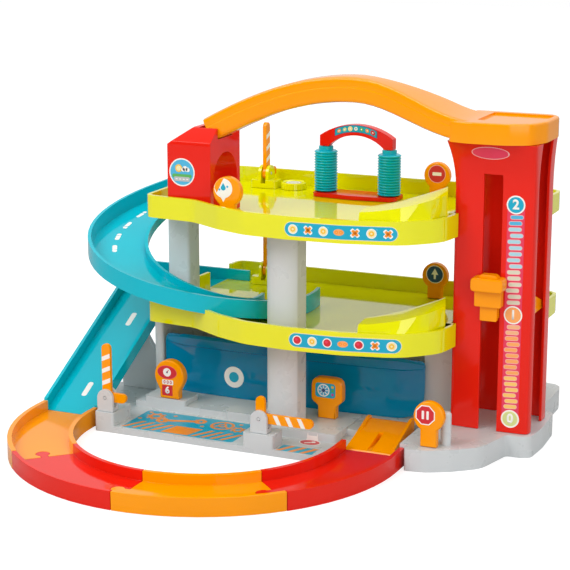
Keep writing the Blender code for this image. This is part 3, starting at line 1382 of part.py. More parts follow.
def make_car_wash(paints):
    floor = FLOOR_2 + GAP
    left = WASH_LEFT
    right = WASH_LEFT + WASH_WIDTH
    back = WASH_FRONT + WASH_DEPTH
    y = (WASH_FRONT + back) / 2
    top = floor + WASH_SLAB
    middle = (left + right) / 2
    plan = [
        (left, WASH_FRONT, 0.010),
        (middle, WASH_FRONT - WASH_BOW, 0.060),
        (right, WASH_FRONT, 0.010),
        (right, back, 0.003),
        (left, back, 0.003),
    ]
    slab = finish("wash_base", prism(rounded(plan), floor, top), paints["red"])
    brush_low = top + RUNNING
    brush_high = brush_low + BRUSH_HEIGHT
    collar_high = brush_high + BRUSH_COLLAR
    arch_low = collar_high + RUNNING
    spring = arch_low + ARCH_DROP
    for side, x in (("left", middle - BRUSH_SPACING / 2), ("right", middle + BRUSH_SPACING / 2)):
        bore = SPINDLE_RADIUS + RUNNING
        profile = [(bore, collar_high), (BRUSH_COLLAR_RADIUS, collar_high), (BRUSH_COLLAR_RADIUS, brush_high)]
        pitch = BRUSH_HEIGHT / BRUSH_RINGS
        for ring in range(BRUSH_RINGS):
            upper = brush_high - ring * pitch
            profile += [
                (BRUSH_RADIUS - BRUSH_RING_DEPTH, upper),
                (BRUSH_RADIUS, upper - pitch * 0.35),
                (BRUSH_RADIUS, upper - pitch * 0.75),
            ]
        profile += [(BRUSH_RADIUS - BRUSH_RING_DEPTH, brush_low), (bore, brush_low)]
        finish(f"wash_brush_{side}", turned(profile, x, y, 16), paints["teal"], (x, y, brush_low))
        spindle = cylinder(x, y, SPINDLE_RADIUS, floor + WASH_SLAB / 2, arch_low + 0.008, 12)
        finish(f"brush_spindle_{side}", spindle, paints["grey"])
        cut(slab, cylinder(x, y, SPINDLE_RADIUS + GAP, floor + WASH_SLAB / 2 - GAP, top + 0.01, 12), f"{side}_seat")
    outer_half = BRUSH_SPACING / 2 + ARCH_FOOT / 2
    inner_half = outer_half - ARCH_FOOT
    rise = ARCH_RISE
    outer_radius = (outer_half**2 + rise**2) / (2 * rise)
    inner_rise = ARCH_DROP + rise - ARCH_BAND - 0.001
    inner_radius = (inner_half**2 + inner_rise**2) / (2 * inner_rise)
    outer_angle = math.asin(outer_half / outer_radius)
    inner_angle = math.asin(inner_half / inner_radius)
    outline = [(middle + outer_half, arch_low)]
    crown = (middle, spring + rise - outer_radius)
    outline += arc(crown, outer_radius, math.pi / 2 - outer_angle, math.pi / 2 + outer_angle, 14)
    outline += [(middle - outer_half, arch_low), (middle - inner_half, arch_low)]
    inner_spring = arch_low + 0.001
    outline += arc(
        (middle, inner_spring + inner_rise - inner_radius), inner_radius,
        math.pi / 2 + inner_angle, math.pi / 2 - inner_angle, 12,
    )
    outline += [(middle + inner_half, arch_low)]
    arch = finish("wash_arch", plate(outline, y - ARCH_THICK / 2, y + ARCH_THICK / 2), paints["red"])
    for side, x in (("left", middle - BRUSH_SPACING / 2), ("right", middle + BRUSH_SPACING / 2)):
        cut(arch, cylinder(x, y, SPINDLE_RADIUS + GAP, arch_low - 0.01, arch_low + 0.008 + GAP, 12), f"{side}_seat")


def make_service_disc(paints):
    low = FLOOR_2 + GAP
    high = low + DISC_HEIGHT
    profile = [
        (0.0, high - 0.001),
        (DISC_RADIUS - 0.003, high - 0.001),
        (DISC_RADIUS - 0.002, high),
        (DISC_RADIUS - 0.0008, high),
        (DISC_RADIUS, high - 0.001),
        (DISC_RADIUS, low),
        (0.0, low),
    ]
    bm = bmesh.new()
    verts = [bm.verts.new((DISC_X + r, DISC_Y, z)) for r, z in profile]
    edges = [bm.edges.new(pair) for pair in zip(verts, verts[1:])]
    bmesh.ops.spin(
        bm, geom=verts + edges, cent=(DISC_X, DISC_Y, 0), axis=(0, 0, 1), dvec=(0, 0, 0),
        angle=2 * math.pi, steps=24, use_merge=True, use_duplicate=False,
    )
    bmesh.ops.remove_doubles(bm, verts=bm.verts[:], dist=1e-6)
    finish("service_disc", bm, paints["lime"])


def main():
    for old in list(bpy.data.objects):
        bpy.data.objects.remove(old, do_unlink=True)
    paints = make_materials()
    make_base(paints)
    make_walls(paints)
    make_pillars(paints)
    make_window(paints)
    make_decks(paints)
    make_tower(paints)
    make_lift(paints)
    make_handle(paints)
    make_gatehouse(paints)
    make_spiral_ramp(paints)
    make_straight_ramp(paints)
    make_track(paints)
    make_exit_ramp(paints)
    make_barriers(paints)
    make_signs(paints)
    make_car_wash(paints)
    make_service_disc(paints)


main()
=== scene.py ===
"""The looks of a toy parking garage: moulded plastics, printed film and a plain studio, on the
frame of its solids. Lengths are metres in that frame: X runs to the right, Y to the back, Z up."""

import json
import math

import bmesh
import bpy
from bpy.props import FloatProperty, FloatVectorProperty, PointerProperty
from mathutils import Matrix, Vector
from mathutils.bvhtree import BVHTree


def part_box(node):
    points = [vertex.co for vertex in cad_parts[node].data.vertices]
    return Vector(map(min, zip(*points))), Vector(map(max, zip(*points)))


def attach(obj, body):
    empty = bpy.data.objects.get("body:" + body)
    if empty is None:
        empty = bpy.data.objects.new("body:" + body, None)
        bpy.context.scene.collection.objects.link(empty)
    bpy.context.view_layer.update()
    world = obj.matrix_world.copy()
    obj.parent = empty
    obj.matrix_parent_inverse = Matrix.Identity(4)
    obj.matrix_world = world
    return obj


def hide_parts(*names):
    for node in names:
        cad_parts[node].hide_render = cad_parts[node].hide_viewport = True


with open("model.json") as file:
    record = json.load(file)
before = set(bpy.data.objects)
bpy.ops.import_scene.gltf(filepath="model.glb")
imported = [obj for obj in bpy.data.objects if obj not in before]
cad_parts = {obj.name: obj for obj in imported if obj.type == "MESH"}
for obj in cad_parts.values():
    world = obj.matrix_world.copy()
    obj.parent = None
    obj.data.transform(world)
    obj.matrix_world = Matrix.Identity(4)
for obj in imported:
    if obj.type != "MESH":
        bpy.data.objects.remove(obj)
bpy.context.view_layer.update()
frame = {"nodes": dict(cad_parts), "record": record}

bl_info = {
    "name": "Toy garage looks",
    "version": (1, 0, 0),
    "blender": (4, 5, 0),
    "location": "View3D > Sidebar > Toy garage",
    "description": "Moulded plastics, printed film and a studio for a toy garage with a lift",
    "category": "Object",
}

MM = 0.001

# The directions of X and Y on a print, by the side of the garage that it faces.
FRONT = (Vector((1, 0, 0)), Vector((0, 0, 1)))
REAR = (Vector((-1, 0, 0)), Vector((0, 0, 1)))
TOP = (Vector((1, 0, 0)), Vector((0, 1, 0)))
RIGHT = (Vector((0, 1, 0)), Vector((0, 0, 1)))
LEFT = (Vector((0, -1, 0)), Vector((0, 0, 1)))

WELD = 0.005 * MM  # corners of the solids' triangles that are nearer than this are one corner
FINE_WELD = 0.001 * MM  # the same for the outline of a numeral
FLAT = math.radians(0.05)  # faces that meet at less than this lie in one plane
STAND_OFF = 12 * MM  # a print drops onto its surface from this far in front of its place
REACH = 150 * MM  # and finds the surface if it lies no deeper than this

SENSOR = 36  # mm across the camera's sensor
FOCAL_PIXELS = 1729  # focal length, in pixels of the frame
FRAME_PIXELS = 570


def linear(colour):
    """sRGB hex to linear RGBA."""
    channels = [int(colour[i : i + 2], 16) / 255 for i in (0, 2, 4)]
    return (*[((c + 0.055) / 1.055) ** 2.4 if c > 0.04045 else c / 12.92 for c in channels], 1.0)


def colour_property(label, what, colour):
    return FloatVectorProperty(
        name=label, description=what, subtype="COLOR", size=4, min=0.0, max=1.0,
        default=linear(colour),
    )


class GaragePlastics(bpy.types.PropertyGroup):
    """Colours and surface of the moulded pieces."""

    light_grey: colour_property("Light grey", "Base, walls, pillars and ground barriers", "D0D4D5")
    lime: colour_property("Lime", "Parking decks and their barriers", "EAE900")
    teal: colour_property("Teal", "Ramps and wash rollers", "00B9CC")
    red: colour_property("Red", "Tower, gatehouse and wash", "E8200F")
    orange: colour_property("Orange", "Carrying handle, lift and signs", "FF9D00")
    clear_blue: colour_property("Clear blue", "Workshop window", "00B4EA")
    edge: FloatProperty(
        name="Edge rounding", description="Radius that the mould leaves on an outer edge",
        default=0.6 * MM, min=0.0, unit="LENGTH",
    )
    smooth: FloatProperty(
        name="Smooth below",
        description="Facets that meet at less than this are shaded as one curve",
        default=math.radians(34), subtype="ANGLE",
    )


class GaragePrints(bpy.types.PropertyGroup):
    """The printed film."""

    film: FloatProperty(
        name="Film", description="Thickness of the film, with its glue",
        default=0.10 * MM, unit="LENGTH",
    )
    layer: FloatProperty(
        name="Ink step", description="How much each layer of print stands over the one below",
        default=0.05 * MM, unit="LENGTH",
    )
    strip_height: FloatProperty(
        name="Strip height", description="Height of the strips on the decks' rims",
        default=14.6 * MM, unit="LENGTH",
    )


class GarageStudio(bpy.types.PropertyGroup):
    """Camera and lamps."""

    distance: FloatProperty(
        name="Distance", description="From the camera to the garage's upright axis",
        default=1.887, unit="LENGTH",
    )
    height: FloatProperty(
        name="Height", description="Of the camera", default=0.6105, unit="LENGTH"
    )
    turn: FloatProperty(
        name="Turn", description="How far the camera stands round to the right",
        default=math.radians(24), subtype="ANGLE",
    )
    tilt: FloatProperty(
        name="Tilt", description="How far the camera looks down",
        default=math.radians(13.5), subtype="ANGLE",
    )
    key: FloatProperty(
        name="Key lamp", description="Power of the large lamp", default=34.0, unit="POWER"
    )
    sky: FloatProperty(
        name="Surroundings", description="Strength of the white room as a light",
        default=0.74, min=0.0,
    )
    floor: FloatProperty(
        name="Floor", description="What the camera sees on top of the floor's own light",
        default=0.68, min=0.0,
    )
    rear: FloatProperty(
        name="Room's rear", description="How bright the room behind the garage looks in a gloss",
        default=0.75, min=0.0, max=1.0,
    )
    front: FloatProperty(
        name="Room's front", description="How bright the room behind the camera looks in a gloss",
        default=0.06, min=0.0, max=1.0,
    )


def add(tree, kind, settings=(), links=()):
    """Adds a node. Settings and links map an attribute or a socket to a value or to another node's
    socket."""
    node = tree.nodes.new(kind)
    for name, value in dict(settings).items():
        if isinstance(name, str) and hasattr(node, name):
            setattr(node, name, value)
        else:
            node.inputs[name].default_value = value
    for name, socket in dict(links).items():
        tree.links.new(socket, node.inputs[name])
    return node


def material(name):
    made = bpy.data.materials.new(name)
    made.use_nodes = True
    return made, made.node_tree, made.node_tree.nodes["Principled BSDF"]


def darker(colour, share):
    return (*[c * share for c in colour[:3]], 1.0)


def moulded(name, colour, roughness, peel, coat=0.0, mirror=0.5):
    """Injection-moulded ABS. Flow marks some 60 mm long deepen the colour a little, the gloss
    wavers in patches of 25 mm where the tool was polished by hand, and the skin has a faint orange
    peel 3 mm across, as strong as peel says. Coat is the extra gloss of a highly polished tool.
    Mirror is the specular level, kept low on deep colours so that the white room doesn't fade
    them."""
    flow_mark, polish_patch, peel_width, peel_height = 60 * MM, 25 * MM, 3 * MM, 0.02 * MM
    made, tree, shader = material(name)
    shader.inputs["IOR"].default_value = 1.54
    shader.inputs["Coat Weight"].default_value = coat
    shader.inputs["Specular IOR Level"].default_value = mirror
    place = add(tree, "ShaderNodeTexCoord").outputs["Object"]
    flow = add(
        tree, "ShaderNodeTexNoise", {"Scale": 1 / flow_mark, "Detail": 2.0}, {"Vector": place}
    )
    tint = add(
        tree, "ShaderNodeMix", {"data_type": "RGBA", 6: darker(colour, 0.9), 7: colour},
        {0: flow.outputs["Fac"]},
    )
    tree.links.new(tint.outputs[2], shader.inputs["Base Color"])
    polish = add(
        tree, "ShaderNodeTexNoise", {"Scale": 1 / polish_patch, "Detail": 3.0}, {"Vector": place}
    )
    gloss = add(
        tree, "ShaderNodeMapRange", {"To Min": roughness * 0.75, "To Max": roughness * 1.3},
        {"Value": polish.outputs["Fac"]},
    )
    tree.links.new(gloss.outputs["Result"], shader.inputs["Roughness"])
    skin = add(
        tree, "ShaderNodeTexNoise", {"Scale": 1 / peel_width, "Detail": 1.0}, {"Vector": place}
    )
    bump = add(
        tree, "ShaderNodeBump", {"Strength": peel, "Distance": peel_height},
        {"Height": skin.outputs["Fac"]},
    )
    tree.links.new(bump.outputs["Normal"], shader.inputs["Normal"])
    return made


def clear_styrene(name, colour, roughness):
    """Clear polystyrene with a blue dye, moulded against a polished tool: glossy and half
    see-through, with slow waves some 40 mm long from its cooling. Its IOR is set under the real
    1.59, which bends the view behind it less."""
    wave_length, wave_height = 40 * MM, 0.1 * MM
    made, tree, shader = material(name)
    shader.inputs["IOR"].default_value = 1.2
    shader.inputs["Transmission Weight"].default_value = 0.5
    shader.inputs["Coat Weight"].default_value = 0.8
    shader.inputs["Roughness"].default_value = roughness
    place = add(tree, "ShaderNodeTexCoord").outputs["Object"]
    wave = add(
        tree, "ShaderNodeTexNoise", {"Scale": 1 / wave_length, "Detail": 1.0}, {"Vector": place}
    )
    tint = add(
        tree, "ShaderNodeMix", {"data_type": "RGBA", 6: darker(colour, 0.8), 7: colour},
        {0: wave.outputs["Fac"]},
    )
    tree.links.new(tint.outputs[2], shader.inputs["Base Color"])
    bump = add(
        tree, "ShaderNodeBump", {"Strength": 0.2, "Distance": wave_height},
        {"Height": wave.outputs["Fac"]},
    )
    tree.links.new(bump.outputs["Normal"], shader.inputs["Normal"])
    return made


def film(name, colour):
    """Offset ink on polypropylene film under a satin lacquer: flat, even colour with a screen dot
    of 0.5 mm, drawn coarser than the real 0.15 mm so that it shows."""
    dot = 0.5 * MM
    made, tree, shader = material(name)
    shader.inputs["IOR"].default_value = 1.49
    shader.inputs["Roughness"].default_value = 0.3
    place = add(tree, "ShaderNodeTexCoord").outputs["Object"]
    dots = add(tree, "ShaderNodeTexVoronoi", {"Scale": 1 / dot}, {"Vector": place})
    tint = add(
        tree, "ShaderNodeMix", {"data_type": "RGBA", 6: darker(colour, 0.93), 7: colour},
        {0: dots.outputs["Distance"]},
    )
    tree.links.new(tint.outputs[2], shader.inputs["Base Color"])
    return made


INKS = {
    "white": "F6F4EE", "cream": "F3E6AE", "yellow": "F7C02A", "orange": "F5901E", "red": "D22B35",
    "rose": "E6395A", "blush": "F3B6B4", "teal": "0CA9C9", "sky": "4FB4DC", "mist": "A9D5E1",
    "sand": "DAD6BE", "peach": "F4B483", "apricot": "FBA85E", "maize": "FBC869", "lime": "D4DA8E",
    "green": "5DB25A", "navy": "174C86", "grey": "B9BDBF", "magenta": "CC3E8E",
}


def ink_set():
    """All the inks, made once."""
    made = []
    for name, colour in INKS.items():
        label = f"{name} ink on PP film, satin"
        made.append(bpy.data.materials.get(label) or film(label, linear(colour)))
    return made


def once(items):
    """The items without repeats, in the order in which they come."""
    return list(dict.fromkeys(items))


def body_of(node):
    for body, nodes in frame["record"]["behaviour"]["bodies"].items():
        if node in nodes:
            return body
    raise RuntimeError(f"no body holds {node}")


def new_piece(name, bm, materials, body):
    """An object at the origin, from a mesh whose faces' numbers index the given materials."""
    used = sorted({face.material_index for face in bm.faces})
    for face in bm.faces:
        face.material_index = used.index(face.material_index)
    mesh = bpy.data.meshes.new(name)
    bm.to_mesh(mesh)
    bm.free()
    for index in used:
        mesh.materials.append(materials[index])
    piece = bpy.data.objects.new(name, mesh)
    bpy.context.scene.collection.objects.link(piece)
    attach(piece, body)
    return piece


class Print:
    """Plates of ink that lie flat in X and Y, stacked in layers along Z, until they are laid on a
    surface. Each shape is given by its ink, its layer and the place of its middle."""

    def __init__(self):
        self.bm = bmesh.new()
        self.settings = bpy.context.scene.garage_prints

    def raise_plate(self, verts, ink, layer):
        """Gives flat faces the thickness of their layer."""
        faces = once(face for vert in verts for face in vert.link_faces)
        for face in faces:
            face.material_index = list(INKS).index(ink)
        made = bmesh.ops.extrude_face_region(self.bm, geom=faces)["geom"]
        top = [v for v in made if isinstance(v, bmesh.types.BMVert)]
        high = self.settings.film + layer * self.settings.layer
        bmesh.ops.translate(self.bm, verts=top, vec=(0, 0, high))

    def disc(self, ink, layer, x, y, radius, segments=32, squash=1.0, turn=0.0):
        """A round plate, or a polygon where the segments are few; squash flattens it along Y."""
        matrix = (
            Matrix.Translation((x, y, 0))
            @ Matrix.Diagonal((1, squash, 1, 1))
            @ Matrix.Rotation(turn, 4, "Z")
        )
        made = bmesh.ops.create_circle(
            self.bm, cap_ends=True, radius=radius, segments=segments, matrix=matrix
        )
        self.raise_plate(made["verts"], ink, layer)

    def ring(self, ink, layer, x, y, outer, inner, segments=32):
        edges = []
        for radius in (outer, inner):
            made = bmesh.ops.create_circle(
                self.bm, radius=radius, segments=segments, matrix=Matrix.Translation((x, y, 0))
            )
            edges += once(edge for vert in made["verts"] for edge in vert.link_edges)
        made = bmesh.ops.bridge_loops(self.bm, edges=edges)
        self.raise_plate(once(vert for face in made["faces"] for vert in face.verts), ink, layer)

    def bar(self, ink, layer, x, y, width, height, turn=0.0, slant=0.0, corner=0.0):
        """A rectangle; slant leans its upright sides, and corner rounds it off."""
        before = set(self.bm.verts)
        verts = bmesh.ops.create_grid(self.bm, x_segments=1, y_segments=1, size=0.5)["verts"]
        bmesh.ops.scale(self.bm, verts=verts, vec=(width, height, 1))
        if corner:
            most = 0.499 * min(width, height)
            edges = once(edge for vert in verts for edge in vert.link_edges)
            bmesh.ops.bevel(
                self.bm, geom=verts + edges, affect="VERTICES", offset=min(corner, most),
                segments=6, profile=0.5, material=-1,
            )
            verts = [vert for vert in self.bm.verts if vert not in before]
        for vert in verts:
            vert.co.x += vert.co.y * slant
        matrix = Matrix.Translation((x, y, 0)) @ Matrix.Rotation(turn, 4, "Z")
        bmesh.ops.transform(self.bm, matrix=matrix, verts=verts)
        self.raise_plate(verts, ink, layer)

    def digit(self, ink, layer, text, x, y, size, weight):
        """A plain numeral in the standard font, made heavier by its weight."""
        curve = bpy.data.curves.new("numeral", "FONT")
        curve.body = text
        curve.size = size
        curve.offset = weight
        curve.resolution_u = 4
        curve.align_x = "CENTER"
        curve.align_y = "CENTER"
        holder = bpy.data.objects.new("numeral", curve)
        bpy.context.scene.collection.objects.link(holder)
        bpy.context.view_layer.update()
        graph = bpy.context.evaluated_depsgraph_get()
        flat = bpy.data.meshes.new_from_object(holder.evaluated_get(graph))
        start = len(self.bm.verts)
        self.bm.from_mesh(flat)
        self.bm.verts.ensure_lookup_table()
        bmesh.ops.remove_doubles(self.bm, verts=self.bm.verts[start:], dist=FINE_WELD)
        self.bm.verts.ensure_lookup_table()
        verts = self.bm.verts[start:]
        bmesh.ops.translate(self.bm, verts=verts, vec=(x, y, 0))
        self.raise_plate(verts, ink, layer)
        bpy.data.objects.remove(holder)
        bpy.data.curves.remove(curve)
        bpy.data.meshes.remove(flat)

    def lay(self, name, node, place, side, step=0.0, bend=None):
        """Lays the plates on a node's surface. The place is where X and Y start, side gives their
        directions, step cuts the plates into strips so that they follow a curve, and bend moves
        them up along X."""
        bm = self.bm
        if step:
            low = min(v.co.x for v in bm.verts)
            high = max(v.co.x for v in bm.verts)
            for i in range(1, math.ceil((high - low) / step)):
                geom = bm.verts[:] + bm.edges[:] + bm.faces[:]
                cut = (low + i * step, 0, 0)
                bmesh.ops.bisect_plane(bm, geom=geom, plane_co=cut, plane_no=(1, 0, 0))
        bmesh.ops.recalc_face_normals(bm, faces=bm.faces[:])
        mesh = frame["nodes"][node].data
        corners = [v.co for v in mesh.vertices]
        tree = BVHTree.FromPolygons(corners, [p.vertices for p in mesh.polygons])
        right, up = side
        out = right.cross(up)
        for vert in bm.verts:
            x, y, z = vert.co
            y += bend(x) if bend else 0.0
            start = Vector(place) + right * x + up * y + out * STAND_OFF
            hit = tree.ray_cast(start, -out, REACH)[0]
            if hit is None:
                raise RuntimeError(f"{name} reaches past the edge of {node} at {tuple(start)}")
            vert.co = hit + out * z
        return new_piece(name, bm, ink_set(), body_of(node))


def folded_edges(bm):
    """The edges where one triangle lies back on the other."""
    return [e for e in bm.edges if e.is_manifold and e.calc_face_angle(0.0) > math.pi - FLAT]


def unfold(bm):
    """Fills a flat face anew where its triangles fold back over each other."""
    folded = folded_edges(bm)
    while folded:
        region = {folded[0].link_faces[0]}
        queue = list(region)
        while queue:
            for edge in queue.pop().edges:
                angle = edge.calc_face_angle(0.0)
                for other in edge.link_faces:
                    if other not in region and (angle < FLAT or angle > math.pi - FLAT):
                        region.add(other)
                        queue.append(other)
        faces = [face for face in bm.faces if face in region]
        total = sum((face.normal * face.calc_area() for face in faces), Vector((0, 0, 0)))
        edges = once(edge for face in faces for edge in face.edges)
        rim = [e for e in edges if sum(face in region for face in e.link_faces) == 1]
        inside = [e for e in edges if e not in rim]
        bmesh.ops.delete(bm, geom=faces, context="FACES_ONLY")
        loose = [e for e in inside if e.is_valid and not e.link_faces]
        bmesh.ops.delete(bm, geom=loose, context="EDGES")
        made = bmesh.ops.triangle_fill(bm, edges=rim, normal=total.normalized(), use_beauty=True)
        if not any(isinstance(g, bmesh.types.BMFace) for g in made["geom"]):
            raise RuntimeError("a flat face can't be filled")
        bm.normal_update()
        folded = folded_edges(bm)


def even_normals(mesh, smooth):
    """Gives each corner the mean normal, by area, of the faces round it that lie within the angle:
    flats stay flat next to rounded edges, and curved walls shade as one curve."""
    around = [[] for _ in mesh.vertices]
    for face in mesh.polygons:
        for vert in face.vertices:
            around[vert].append((face.normal * face.area, face.normal))
    limit = math.cos(smooth)
    normals = []
    for face in mesh.polygons:
        for vert in face.vertices:
            total = Vector((0, 0, 0))
            for weighted, normal in around[vert]:
                if normal.dot(face.normal) > limit:
                    total += weighted
            normals.append(total.normalized() if total.length else face.normal)
    mesh.normals_split_custom_set(normals)


class GARAGE_OT_shells(bpy.types.Operator):
    """Gives every moulded piece its plastic and its rounded, smooth-shaded edges"""

    bl_idname = "garage.shells"
    bl_label = "Moulded pieces"

    def execute(self, context):
        look = context.scene.garage_plastics
        plastics = {
            "light_grey_plastic": moulded(
                "light grey ABS, satin", look.light_grey, roughness=0.28, peel=0.35
            ),
            "lime_plastic": moulded(
                "lime ABS, polished", look.lime, roughness=0.06, peel=0.06, coat=0.4
            ),
            "teal_plastic": moulded(
                "teal ABS, polished", look.teal, roughness=0.1, peel=0.12, mirror=0.35
            ),
            "red_plastic": moulded(
                "red ABS, polished", look.red, roughness=0.1, peel=0.15, mirror=0.3
            ),
            "orange_plastic": moulded(
                "orange ABS, polished", look.orange, roughness=0.09, peel=0.12, mirror=0.3
            ),
            "clear_blue_plastic": clear_styrene(
                "clear blue styrene, polished", look.clear_blue, roughness=0.03
            ),
        }
        for part in frame["record"]["subparts"]:
            node = part["node"]
            plastic = plastics[part["material_slot"]]
            source = frame["nodes"][node]
            source.data.materials.clear()
            source.data.materials.append(plastic)
            bm = bmesh.new()
            bm.from_mesh(source.data)
            bmesh.ops.remove_doubles(bm, verts=bm.verts[:], dist=WELD)
            unfold(bm)
            bmesh.ops.dissolve_limit(bm, angle_limit=FLAT, verts=bm.verts[:], edges=bm.edges[:])
            for face in bm.faces:
                face.material_index = 0
                face.smooth = True
            sharp = [e for e in bm.edges if e.is_manifold and e.calc_face_angle(0.0) > look.smooth]
            bmesh.ops.bevel(
                bm, geom=sharp, affect="EDGES", offset=look.edge, offset_type="OFFSET",
                segments=2, profile=0.5, clamp_overlap=True, material=-1,
            )
            piece = new_piece(f"{node}_skin", bm, [plastic], body_of(node))
            even_normals(piece.data, look.smooth)
            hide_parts(node)
        return {"FINISHED"}


def star(sheet, ink, layer, x, y, size):
    """A plain diagonal cross."""
    for turn in (math.pi / 4, -math.pi / 4):
        sheet.bar(ink, layer, x, y, size, size * 0.36, turn=turn, corner=size * 0.1)


def strip_sign(sheet, kind, x):
    """One of a strip's round signs: a cross, a dial, a red button or a pair of wheels."""
    if kind == "cross":
        star(sheet, "white", 2, x, 0, 11.0 * MM)
        star(sheet, "orange", 3, x, 0, 8.0 * MM)
    elif kind == "dial":
        sheet.disc("white", 2, x, 0, 5.2 * MM)
        sheet.disc("cream", 3, x, 0, 4.3 * MM)
        sheet.disc("yellow", 4, x, 0, 2.9 * MM, segments=8)
        sheet.disc("cream", 5, x, 0, 1.2 * MM, segments=16)
        spark = (2.2 * MM, 1.0 * MM)
        sheet.bar("sky", 2, x + 5.4 * MM, 4.4 * MM, *spark, turn=-0.8, corner=0.5 * MM)
    elif kind == "button":
        sheet.disc("white", 2, x, 0, 5.2 * MM)
        sheet.disc("red", 3, x, 0, 4.1 * MM)
        sheet.disc("rose", 4, x - 0.8 * MM, 0.9 * MM, 1.6 * MM, segments=16)
    elif kind == "wheels":
        sheet.disc("apricot", 2, x, 0, 5.6 * MM, squash=0.62)
        for side in (-1, 1):
            sheet.ring("orange", 3, x + side * 2.4 * MM, 0, 1.8 * MM, 1.0 * MM, segments=16)


class GARAGE_OT_deck_strips(bpy.types.Operator):
    """Prints the teal strips with round signs on the front rims of both decks"""

    bl_idname = "garage.deck_strips"
    bl_label = "Strips on the decks"

    def execute(self, context):
        height = context.scene.garage_prints.strip_height
        before_rim = -0.105
        border = 0.7 * MM
        upper = ("dial", "cross", "dial", "wheels", "cross", "dial", "cross")
        lower = ("button", "dial", "button", "wheels", "button", "cross", "dial")
        rows = (
            ("deck_strip_upper", "deck_level_2", 0.0464, 0.1650, 0.2458, upper),
            ("deck_strip_lower", "deck_level_1", 0.0514, 0.1700, 0.1262, lower),
        )
        for name, node, left, right, z, signs in rows:
            sheet = Print()
            width = right - left
            sheet.bar(
                "cream", 0, 0, 0, width + 2 * border, height + 2 * border,
                corner=height / 2 + border,
            )
            sheet.bar("teal", 1, 0, 0, width, height, corner=height / 2)
            margin = height * 0.62
            pitch = (width - 2 * margin) / (len(signs) - 1)
            for i, kind in enumerate(signs):
                strip_sign(sheet, kind, -width / 2 + margin + i * pitch)
            sheet.lay(name, node, ((left + right) / 2, before_rim, z), FRONT, step=3 * MM)
        return {"FINISHED"}


class GARAGE_OT_tower_gauge(bpy.types.Operator):
    """Prints the storey gauge beside the lift's slot, and the bare badge over it"""

    bl_idname = "garage.tower_gauge"
    bl_label = "Gauge on the tower"

    def execute(self, context):
        # Each stop's x and z, numeral, ink and rim.
        stops = (
            (0.2700, 0.0402, "0", "lime", "cream"),
            (0.2698, 0.1545, "1", "apricot", "orange"),
            (0.2693, 0.2725, "2", "teal", "teal"),
        )
        middle = 0.2697
        base, half_way, top = (stop[1] for stop in stops)
        dashes = 15  # between two stops
        above_stop, below_stop = 13.5 * MM, 13.0 * MM  # kept clear for the stops' discs
        sway = 1.3 * MM  # how far a dash is printed off the middle
        sheet = Print()
        sheet.bar("rose", 0, 0, (top - base) / 2, 18.5 * MM, top - base, corner=3 * MM)
        inks = ("maize", "maize", "apricot", "apricot", "peach", "sand", "sand", "mist", "mist",
                "sky")
        for low, high in ((base, half_way), (half_way, top)):
            first = low + above_stop
            pitch = (high - below_stop - first) / (dashes - 1)
            for i in range(dashes):
                x = sway * math.sin(2.4 * i)
                z = first + i * pitch
                share = (z - base) / (top - base)
                ink = inks[min(int(share * len(inks)), len(inks) - 1)]
                z -= base
                sheet.bar("blush", 1, x, z, 14.6 * MM, 4.9 * MM, turn=0.05, corner=2.4 * MM)
                sheet.bar(ink, 2, x, z, 13.4 * MM, 3.7 * MM, turn=0.05, corner=1.8 * MM)
        for x, z, text, ink, rim in stops:
            x -= middle
            z -= base
            sheet.disc("white", 3, x, z, 9.9 * MM, segments=40)
            sheet.disc(rim, 4, x, z, 8.4 * MM, segments=40)
            sheet.disc(ink, 5, x, z, 7.9 * MM, segments=40)
            sheet.digit("white", 6, text, x, z, size=14 * MM, weight=0.5 * MM)
        sheet.lay("tower_gauge", "tower_front", (middle, -0.0157, base), FRONT, step=4 * MM)

        badge = Print()
        badge.disc("blush", 0, 0, 0, 20.5 * MM, segments=48, squash=0.33)
        badge.disc("rose", 1, 0, 0, 19.6 * MM, segments=48, squash=0.31)
        badge.lay("tower_badge", "tower_front", (0.2425, -0.0235, 0.3262), FRONT, step=2 * MM)
        return {"FINISHED"}


